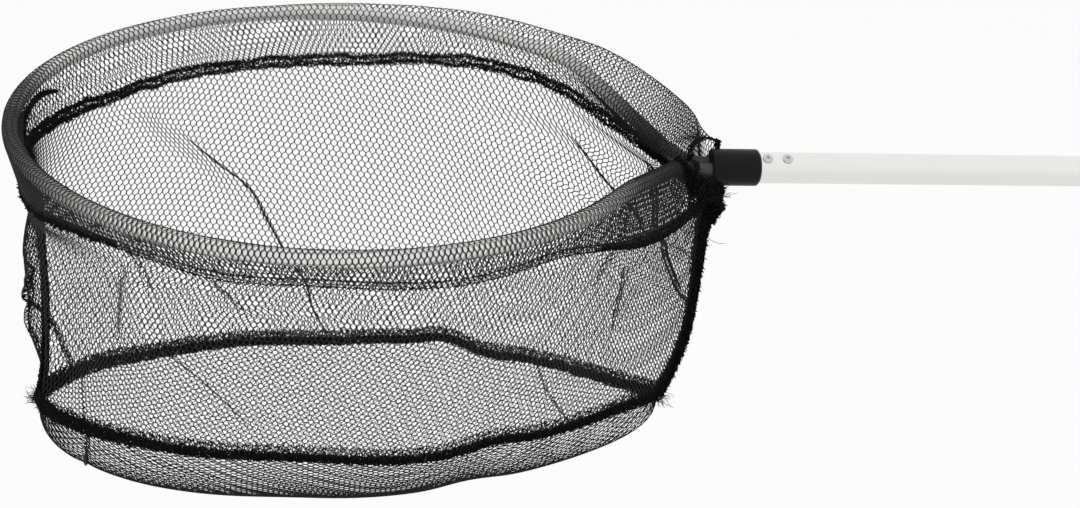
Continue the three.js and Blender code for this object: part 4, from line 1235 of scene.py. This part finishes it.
class POND_NET_OT_handle(MakesPiece, bpy.types.Operator):
    """Make the foam grip and the end cap with its hanging eye"""

    bl_idname = "pond_net.handle"
    bl_label = "Grip and end cap"

    def execute(self, context):
        x0, x1, radius = extent("grip")
        bore = extent("outer_tube")[2] + GRIP_GAP
        outline = [(x0, bore), (x0, radius), (x1, radius), (x1, bore)]
        grip = turned(filleted(outline, GRIP_ROUNDS, GRIP_ROUND_STEPS))
        solid("grip_foam", grip, "handle", "foam", "grip")
        self.end_cap(x1)
        return {"FINISHED"}

    def end_cap(self, face):
        """A plug with a flange, and a flat tab whose outline runs round the hanging hole."""
        low, high = corners_of("end_cap")
        x0, rim = low[0], (high[2] - low[2]) / 2.0
        plug = extent("outer_tube")[2] - in_mm("outer_wall") - FIT
        seat, flange = face + FIT, face + FLANGE_END
        outline = [(x0, BORE), (x0, plug), (seat, plug), (seat, rim), (flange, rim), (flange, BORE)]
        stopper = turned(filleted(outline, CAP_ROUNDS))
        angle = np.linspace(0.0, 2.0 * np.pi, EYE_SIDES, endpoint=False)[:, None]
        ahead, up = np.cos(angle), np.sin(angle)
        to_root = (EYE_X - flange + EYE_ROOT) / np.maximum(-ahead, CLOSE)
        to_side = EYE_HALF / np.maximum(np.abs(up), CLOSE)
        reach = np.where(ahead >= 0.0, EYE_HALF, np.minimum(to_root, to_side))
        thick = EYE_HALF_THICK
        section = filleted([(0.0, -thick), (1.0, -thick), (1.0, thick), (0.0, thick)], EYE_ROUNDS)
        out = EYE_HOLE + (reach - EYE_HOLE) * section[:, 0]
        points = np.stack([EYE_X + out * ahead, section[:, 1] + 0.0 * out, out * up], axis=-1)
        tab = (points.reshape(-1, 3), [grid_faces(EYE_SIDES, len(section), True, True)])
        solid("end_cap_moulding", joined(stopper, tab), "handle", "black_plastic", "end_cap")

# The share of a row that its threads run straight in, and how far each stands off its column there
PILLAR, LEAN = 0.58, 0.17
WALL_ROWS, WALL_PLACES, DROP_PLACES = 97, 721, 50
BOTTOM_ROWS, BOTTOM_PLACES, BOTTOM_END = 161, 201, 0.05
# In front the netting is drawn longer down the wall and narrower across it, and below it is drawn together
MESH_PITCH = {FRONT: 0.74, BACK: 1.0, BOTTOM: 0.76}
MESH_STEP = {FRONT: 1.36, BACK: 0.96, BOTTOM: 0.9}
MESH_THREAD = {FRONT: 0.69, BACK: 1.0, BOTTOM: 0.78}
SLEEVE_PITCH = {FRONT: 0.74, BACK: 1.0}


def mesh_sizes(part):
    """The pitch, the row step and half the thread of one part of the netting."""
    pitch, row_step = in_mm("pitch") * MESH_PITCH[part], in_mm("row_step") * MESH_STEP[part]
    return pitch, row_step, in_mm("thread") * MESH_THREAD[part] / 2.0


def furthest(run, middle):
    """How far the rows of a cloth reach from their middle at the most, first back and then ahead."""
    return -run[:, middle].max(), (run[:, -1] - run[:, middle]).max()


def netting(name, node, points, normals, radius, keep):
    """A piece of netting on the head from its threads."""
    points, faces, maps = tubes(points + HEAD, normals, radius, keep)
    return piece(put_mesh(name, points, [faces], maps), "head", "netting", node)


class POND_NET_OT_walls(MakesPiece, bpy.types.Operator):
    """Make the bag's front and back walls from netting threads"""

    bl_idname = "pond_net.walls"
    bl_label = "Walls"

    def execute(self, context):
        self.wall(FRONT, "front_netting", "front_wall", "hem_overlock_front")
        self.wall(BACK, "back_netting", "back_wall", "hem_overlock_back")
        return {"FINISHED"}

    def wall(self, side, name, node, hem):
        """Threads down the wall, cut where it ends at its side seams, with its gathers, slopes and folds."""
        pitch, row_step, radius = mesh_sizes(side)
        grid = wall_grid(side, np.linspace(0.0, 1.0, WALL_ROWS), WALL_PLACES)
        middle = WALL_PLACES // 2
        run = run_along(grid)
        down = run_along(grid[:, middle])
        first, last = furthest(run, middle)
        drop = row_drop(np.linspace(first, last, DROP_PLACES), side)
        extra = int(np.ceil(np.abs(drop).max() / row_step)) + 1
        rows = int(round(down[-1] / row_step)) + 2 * extra
        drawn = CLOTH - summed(GATHERS[side])
        across, level = lattice(*np.interp([first, last], drawn, CLOTH), rows, pitch, row_step, PILLAR, LEAN)
        across = np.interp(across, CLOTH, drawn)
        depth = level[:, None] - extra * row_step + row_drop(across, side)
        at, lift = folded(across, depth, side)
        points, normals, keep = laid(grid, middle, at, depth / down[-1])
        wall = netting(name, node, points + normals * lift[..., None], normals, radius, keep)


class POND_NET_OT_bottom(MakesPiece, bpy.types.Operator):
    """Make the bottom panel from netting threads that run along the bag"""

    bl_idname = "pond_net.bottom"
    bl_label = "Bottom panel"

    def execute(self, context):
        pitch, row_step, radius = mesh_sizes(BOTTOM)
        angles = np.linspace(BOTTOM_END, np.pi - BOTTOM_END, BOTTOM_ROWS)
        grid = bottom_grid(angles, BOTTOM_PLACES)
        middle = BOTTOM_PLACES // 2
        spine = run_along(grid[:, middle])
        run = run_along(grid)
        first, last = furthest(run, middle)
        rows = int(round(spine[-1] / row_step))
        across, level = lattice(first, last, rows, pitch, row_step, PILLAR, LEAN)
        along, lift = folded(level[:, None] + 0.0 * across, across, BOTTOM)
        share = np.interp(along, spine, np.linspace(0.0, 1.0, BOTTOM_ROWS))
        points, normals, keep = laid(grid, middle, across, share)
        points = points + normals * lift[..., None]
        panel = netting("bottom_netting", "bottom_panel", points, normals, radius, keep)
        return {"FINISHED"}


class POND_NET_OT_sleeve(MakesPiece, bpy.types.Operator):
    """Make the hem sleeve, the netting folded over the hoop, in a front and a back half"""

    bl_idname = "pond_net.sleeve"
    bl_label = "Hem sleeve"

    def execute(self, context):
        for side, name in ((FRONT, "front_hem_netting"), (BACK, "back_hem_netting")):
            self.half(side, name)
        return {"FINISHED"}

    def half(self, side, name):
        """Threads from the hem seam up the outside, over the tube and down inside, gathered at the heel."""
        pitch, row_step = in_mm("pitch") * SLEEVE_PITCH[side], in_mm("row_step")
        outlines = sleeve_outlines(side)
        run = run_along(outlines)
        rows = int(round(run[:, -1].max() / row_step))
        stations = run_along(outlines[:, OUTLINE_STEPS // 2])
        length = stations[-1]
        drawn = CLOTH - summed(SLEEVE_GATHERS[side])
        across, level = lattice(0.0, np.interp(length, drawn, CLOTH), rows, pitch, row_step, PILLAR, LEAN)
        across = np.interp(across, CLOTH, drawn)
        grid = outlines.transpose(1, 0, 2)
        share = level[:, None] / np.interp(across, stations, run[:, -1])
        points, normals, keep = laid(grid, 0, across, share, np.broadcast_to(stations, grid.shape[:2]))
        half = netting(name, "hem_sleeve", points, normals, in_mm("hem_thread") / 2.0, keep)


# Bands of gathered netting: widths at even steps along, layers, pitch, row step, and how far threads wander
HEM_BACK_BAND = (
    (14.0, 12.0, 10.0, 9.0, 9.0, 9.0, 9.0, 9.0, 8.5, 8.0, 8.0, 8.5, 9.0), 1, 2.6, 1.9, 0.9)
HEM_BACK_LINE_BAND = ((3.2, 3.0, 2.4, 2.6, 2.2, 2.8, 2.4, 3.0, 3.4), 2, 2.2, 1.1, 0.9)
HEM_BACK_HEEL_BAND = ((17.0, 15.0, 12.0, 6.0), 4, 1.8, 1.2, 1.2)
HEM_FRONT_LINE_BAND = ((1.0, 1.0), 1, 2.2, 0.5, 0.3)
HEM_FRONT_HEEL_BAND = ((9.0, 8.0, 7.0, 6.0, 2.0), 3, 2.2, 1.5, 0.7)
HEM_FRONT_TIP_BAND = ((2.0, 5.0, 5.0, 5.5, 8.0), 2, 2.4, 1.6, 1.0)
HEEL_BUNCH_BAND = ((5.0, 10.0, 12.0, 12.0, 12.0, 11.0), 4, 1.8, 1.2, 1.3)
MOUTH_BAND = ((3.0, 3.0), 3, 1.6, 1.0, 0.4)
SLEEVE_END_BAND = ((7.0, 6.0, 5.0, 4.5, 4.0, 3.0, 1.5), 3, 1.8, 1.1, 0.5)
FOOT_BAND = ((8.0, 6.5, 5.5, 5.5, 5.5, 5.5, 5.5, 6.0, 7.0, 9.0, 10.0), 3, 2.1, 1.4, 0.9)
FRILL_BAND = {
    FRONT: ((9.0, 8.0, 9.0), 1, 2.6, 1.8, 0.7),
    BACK: ((9.0, 8.0, 9.0), 2, 2.6, 1.8, 0.7),
}
HEEL_SIDE_BAND = ((13.0, 9.0, 7.0, 6.0, 6.5, 7.0, 9.0), 5, 1.6, 1.1, 1.2)
TIP_SIDE_BAND = ((10.0, 8.0, 5.0, 3.6, 4.2, 4.0, 4.5, 7.0), 5, 1.6, 1.1, 1.2)
BAND_STEP = 2.0
# Which way the side seams are wide
SIDE_WAY = np.array([1.0, 0.3, 0.0])
# Parts of the seams as angles, the rises of the hem's lines, and the points that the hem's bunch runs through
HEM_ANGLES, HEM_BACK_HEEL = (0.03, np.pi), (0.03, 0.52)
HEM_FRONT_HEEL, HEM_FRONT_TIP = (0.03, 0.95), (2.35, np.pi)
HEM_BACK_LINES, HEM_FRONT_LINES, FRILL_RISE = (-2.6, 2.4), (-1.8, 1.8), 4.0
HEEL_BUNCH = (
    (-25.0, -12.0, 11.0), (-19.0, -17.0, 4.0), (-12.0, -17.5, -3.0), (-4.0, -14.0, -10.0),
    (4.0, -8.0, -14.0), (7.0, -4.0, -19.0), (5.0, -1.0, -26.0), (1.0, 0.0, -36.0),
)
# The sleeve's end seam: places along the sleeve from the tip, and shares of the way round its outline
SLEEVE_END_PLACES = (13.0, 5.0, 4.0, 11.0, 30.0, 50.0, 69.0)
SLEEVE_END_SHARES = (1.0, 0.9, 0.79, 0.72, 0.7, 0.71, 0.77)
RAGGED_RUN, RAGGED_SIZE = 9.0, 0.8
SEAM_STEPS, PART_STEPS, KNOT_STEPS, SIDE_STEPS, SIDE_PLACES = 400, 100, 60, 60, 181
# Tufts: the way of the loose ends, their count and length, and how much their ways and starts differ
HEEL_FOOT_TUFT = ((0.9, 0.0, -0.35), 45, 8.0, 0.5, 1.5)
TIP_FOOT_TUFT = ((-1.0, 0.0, 0.1), 35, 7.0, 0.5, 1.5)
# On the heel's side seam: a tuft's step along the seam, its offset from there, and the tuft
HEEL_TUFTS = (
    (0, (5.0, -4.0, 5.0), ((0.9, -0.3, -0.1), 60, 5.0, 0.6, 2.2)),
    (12, (0.0, 0.0, 0.0), ((0.9, -0.2, -0.6), 2, 14.0, 0.1, 1.5)),
    (-1, (0.0, 0.0, 0.0), ((0.4, -0.4, -0.8), 3, 22.0, 0.5, 1.5)),
)
TUFT_THREAD = 0.7
RANDOM_START = 7


def through(values):
    """A smooth run through values that stand at even steps."""
    last = len(values) - 1.0
    return smooth_line(np.linspace(0.0, last, KNOT_STEPS), np.arange(len(values)), values)


class POND_NET_OT_seams(MakesPiece, bpy.types.Operator):
    """Make the hem, bottom and side seams from gathered netting, sewing thread and loose ends"""

    bl_idname = "pond_net.seams"
    bl_label = "Seams"

    def execute(self, context):
        self.rng = np.random.default_rng(RANDOM_START)
        self.radius = in_mm("thread") / 2.0
        self.hem_back()
        self.hem_front()
        self.bottom()
        self.sides()
        return {"FINISHED"}

    def seam(self, name, node, sets):
        """One seam's piece from its sets of threads."""
        points, faces, maps = strands(*sets)
        return piece(put_mesh(name, points + HEAD, [faces], maps), "head", "sewing", node)

    def band(self, path, band, up=UP):
        """A gathered band along a path, of the netting's own thread."""
        return bunched(evenly(path, BAND_STEP), up, band, self.radius, self.rng)

    def tuft(self, place, way, count, size, spread, scatter):
        """Loose ends round a place, all more or less in one direction."""
        starts = place + self.rng.normal(0.0, scatter, (count, 3))
        ways = unit(way + self.rng.normal(0.0, spread, (count, 3)))
        return hairs(starts, ways, size, TUFT_THREAD * self.radius, self.rng)

    def ragged(self, path):
        """A path with random rises and falls, smooth between places a short run apart."""
        run = run_along(path)
        knots = np.linspace(0.0, run[-1], int(run[-1] / RAGGED_RUN))
        rise = smooth_line(run, knots, self.rng.normal(0.0, RAGGED_SIZE, len(knots)))
        return path + rise[:, None] * UP

    def mouth(self, outlines):
        """The hem of the sleeve's mouth at the ferrule."""
        ahead = outlines[-1].mean(axis=0) - outlines[-2].mean(axis=0)
        return self.band(outlines[-1], MOUTH_BAND, ahead)

    def sleeve_end(self, outlines):
        """The sleeve's own end seam, which turns up its inside at the tip and runs on along it."""
        station = np.round(through(SLEEVE_END_PLACES) / SLEEVE_STEP).astype(int)
        place = np.round(through(SLEEVE_END_SHARES) * (OUTLINE_STEPS - 1)).astype(int)
        return self.band(outlines[station, place], SLEEVE_END_BAND)

    def hem_back(self):
        """A wide band with two ragged lines on it, bunched at the heel, and the sleeve's mouth and end."""
        line = hem_line(np.linspace(*HEM_ANGLES, SEAM_STEPS), BACK)
        heel = hem_line(np.linspace(*HEM_BACK_HEEL, PART_STEPS), BACK)
        outlines = sleeve_outlines(BACK)
        sets = [self.band(line, HEM_BACK_BAND)]
        for rise in HEM_BACK_LINES:
            sets.append(self.band(self.ragged(line + rise * UP), HEM_BACK_LINE_BAND))
        sets.append(self.band(heel, HEM_BACK_HEEL_BAND))
        sets.append(self.mouth(outlines))
        sets.append(self.sleeve_end(outlines))
        self.seam("hem_overlock_back", "hem_seam", sets)

    def hem_front(self):
        """A double line that is thicker at both ends, the sleeve's mouth, and a bunch under the ferrule."""
        line = hem_line(np.linspace(*HEM_ANGLES, SEAM_STEPS), FRONT)
        heel = hem_line(np.linspace(*HEM_FRONT_HEEL, PART_STEPS), FRONT)
        tip = hem_line(np.linspace(*HEM_FRONT_TIP, PART_STEPS), FRONT)
        sets = [self.mouth(sleeve_outlines(FRONT))]
        for rise in HEM_FRONT_LINES:
            sets.append(self.band(line + rise * UP, HEM_FRONT_LINE_BAND))
        sets.append(self.band(heel, HEM_FRONT_HEEL_BAND))
        sets.append(self.band(self.ragged(tip), HEM_FRONT_TIP_BAND))
        sets.append(self.band(through(HEEL_BUNCH), HEEL_BUNCH_BAND))
        self.seam("hem_overlock_front", "hem_seam", sets)

    def bottom(self):
        """A dense core with a gathered edge over it, and tufts where the two arcs meet."""
        angle = np.linspace(0.0, np.pi, SEAM_STEPS)
        for side, name, node in (
            (FRONT, "bottom_overlock_front", "bottom_seam_front"),
            (BACK, "bottom_overlock_back", "bottom_seam_back"),
        ):
            path = foot_line(angle, side)
            core = self.band(path, FOOT_BAND)
            frill = self.band(path + FRILL_RISE * UP, FRILL_BAND[side])
            heel_tuft = self.tuft(path[0], *HEEL_FOOT_TUFT)
            tip_tuft = self.tuft(path[-1], *TIP_FOOT_TUFT)
            self.seam(name, node, [core, frill, heel_tuft, tip_tuft])

    def sides(self):
        """Thick bands down both ends of the bag, with fuzz and loose threads at the heel."""
        share = np.linspace(0.0, 1.0, SIDE_STEPS)
        middle = (wall_grid(FRONT, share, SIDE_PLACES) + wall_grid(BACK, share, SIDE_PLACES)) / 2.0
        heel, tip = middle[:, 0], middle[:, -1]
        sets = [self.band(heel, HEEL_SIDE_BAND, SIDE_WAY)]
        for step, offset, tuft in HEEL_TUFTS:
            sets.append(self.tuft(heel[step] + offset, *tuft))
        self.seam("heel_overlock", "side_seam_heel", sets)
        self.seam("tip_overlock", "side_seam_tip", [self.band(tip, TIP_SIDE_BAND, SIDE_WAY)])


class POND_NET_PT_panel(bpy.types.Panel):
    """The pieces' operators and their settings"""

    bl_idname = "POND_NET_PT_panel"
    bl_label = "Pond Net"
    bl_space_type = "VIEW_3D"
    bl_region_type = "UI"
    bl_category = "Pond Net"

    def draw(self, context):
        """A button for each operator and a box for each group of settings."""
        for operator in OPERATORS:
            self.layout.operator(operator.bl_idname)
        for group, _ in SETTINGS:
            settings = getattr(context.scene, group)
            box = self.layout.box()
            for name in settings.bl_rna.properties.keys():
                if name not in ("rna_type", "name"):
                    box.prop(settings, name)


OPERATORS = (
    POND_NET_OT_stage,
    POND_NET_OT_hoop,
    POND_NET_OT_pole,
    POND_NET_OT_lock,
    POND_NET_OT_handle,
    POND_NET_OT_walls,
    POND_NET_OT_bottom,
    POND_NET_OT_sleeve,
    POND_NET_OT_seams,
)
SETTINGS = (
    ("pond_net_sizes", PondNetSizes),
    ("pond_net_colours", PondNetColours),
    ("pond_net_stage", PondNetStage),
)


def register():
    """Registers the settings, the operators and the panel."""
    for name, group in SETTINGS:
        bpy.utils.register_class(group)
        setattr(bpy.types.Scene, name, bpy.props.PointerProperty(type=group))
    for operator in OPERATORS:
        bpy.utils.register_class(operator)
    bpy.utils.register_class(POND_NET_PT_panel)


def unregister():
    """Takes them away again, in the other order."""
    bpy.utils.unregister_class(POND_NET_PT_panel)
    for operator in reversed(OPERATORS):
        bpy.utils.unregister_class(operator)
    for name, group in reversed(SETTINGS):
        delattr(bpy.types.Scene, name)
        bpy.utils.unregister_class(group)


def main():
    """Registers the add-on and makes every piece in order."""
    register()
    for operator in OPERATORS:
        group, name = operator.bl_idname.split(".")
        getattr(getattr(bpy.ops, group), name)()
    bpy.context.view_layer.update()


if __name__ == "__main__":
    main()
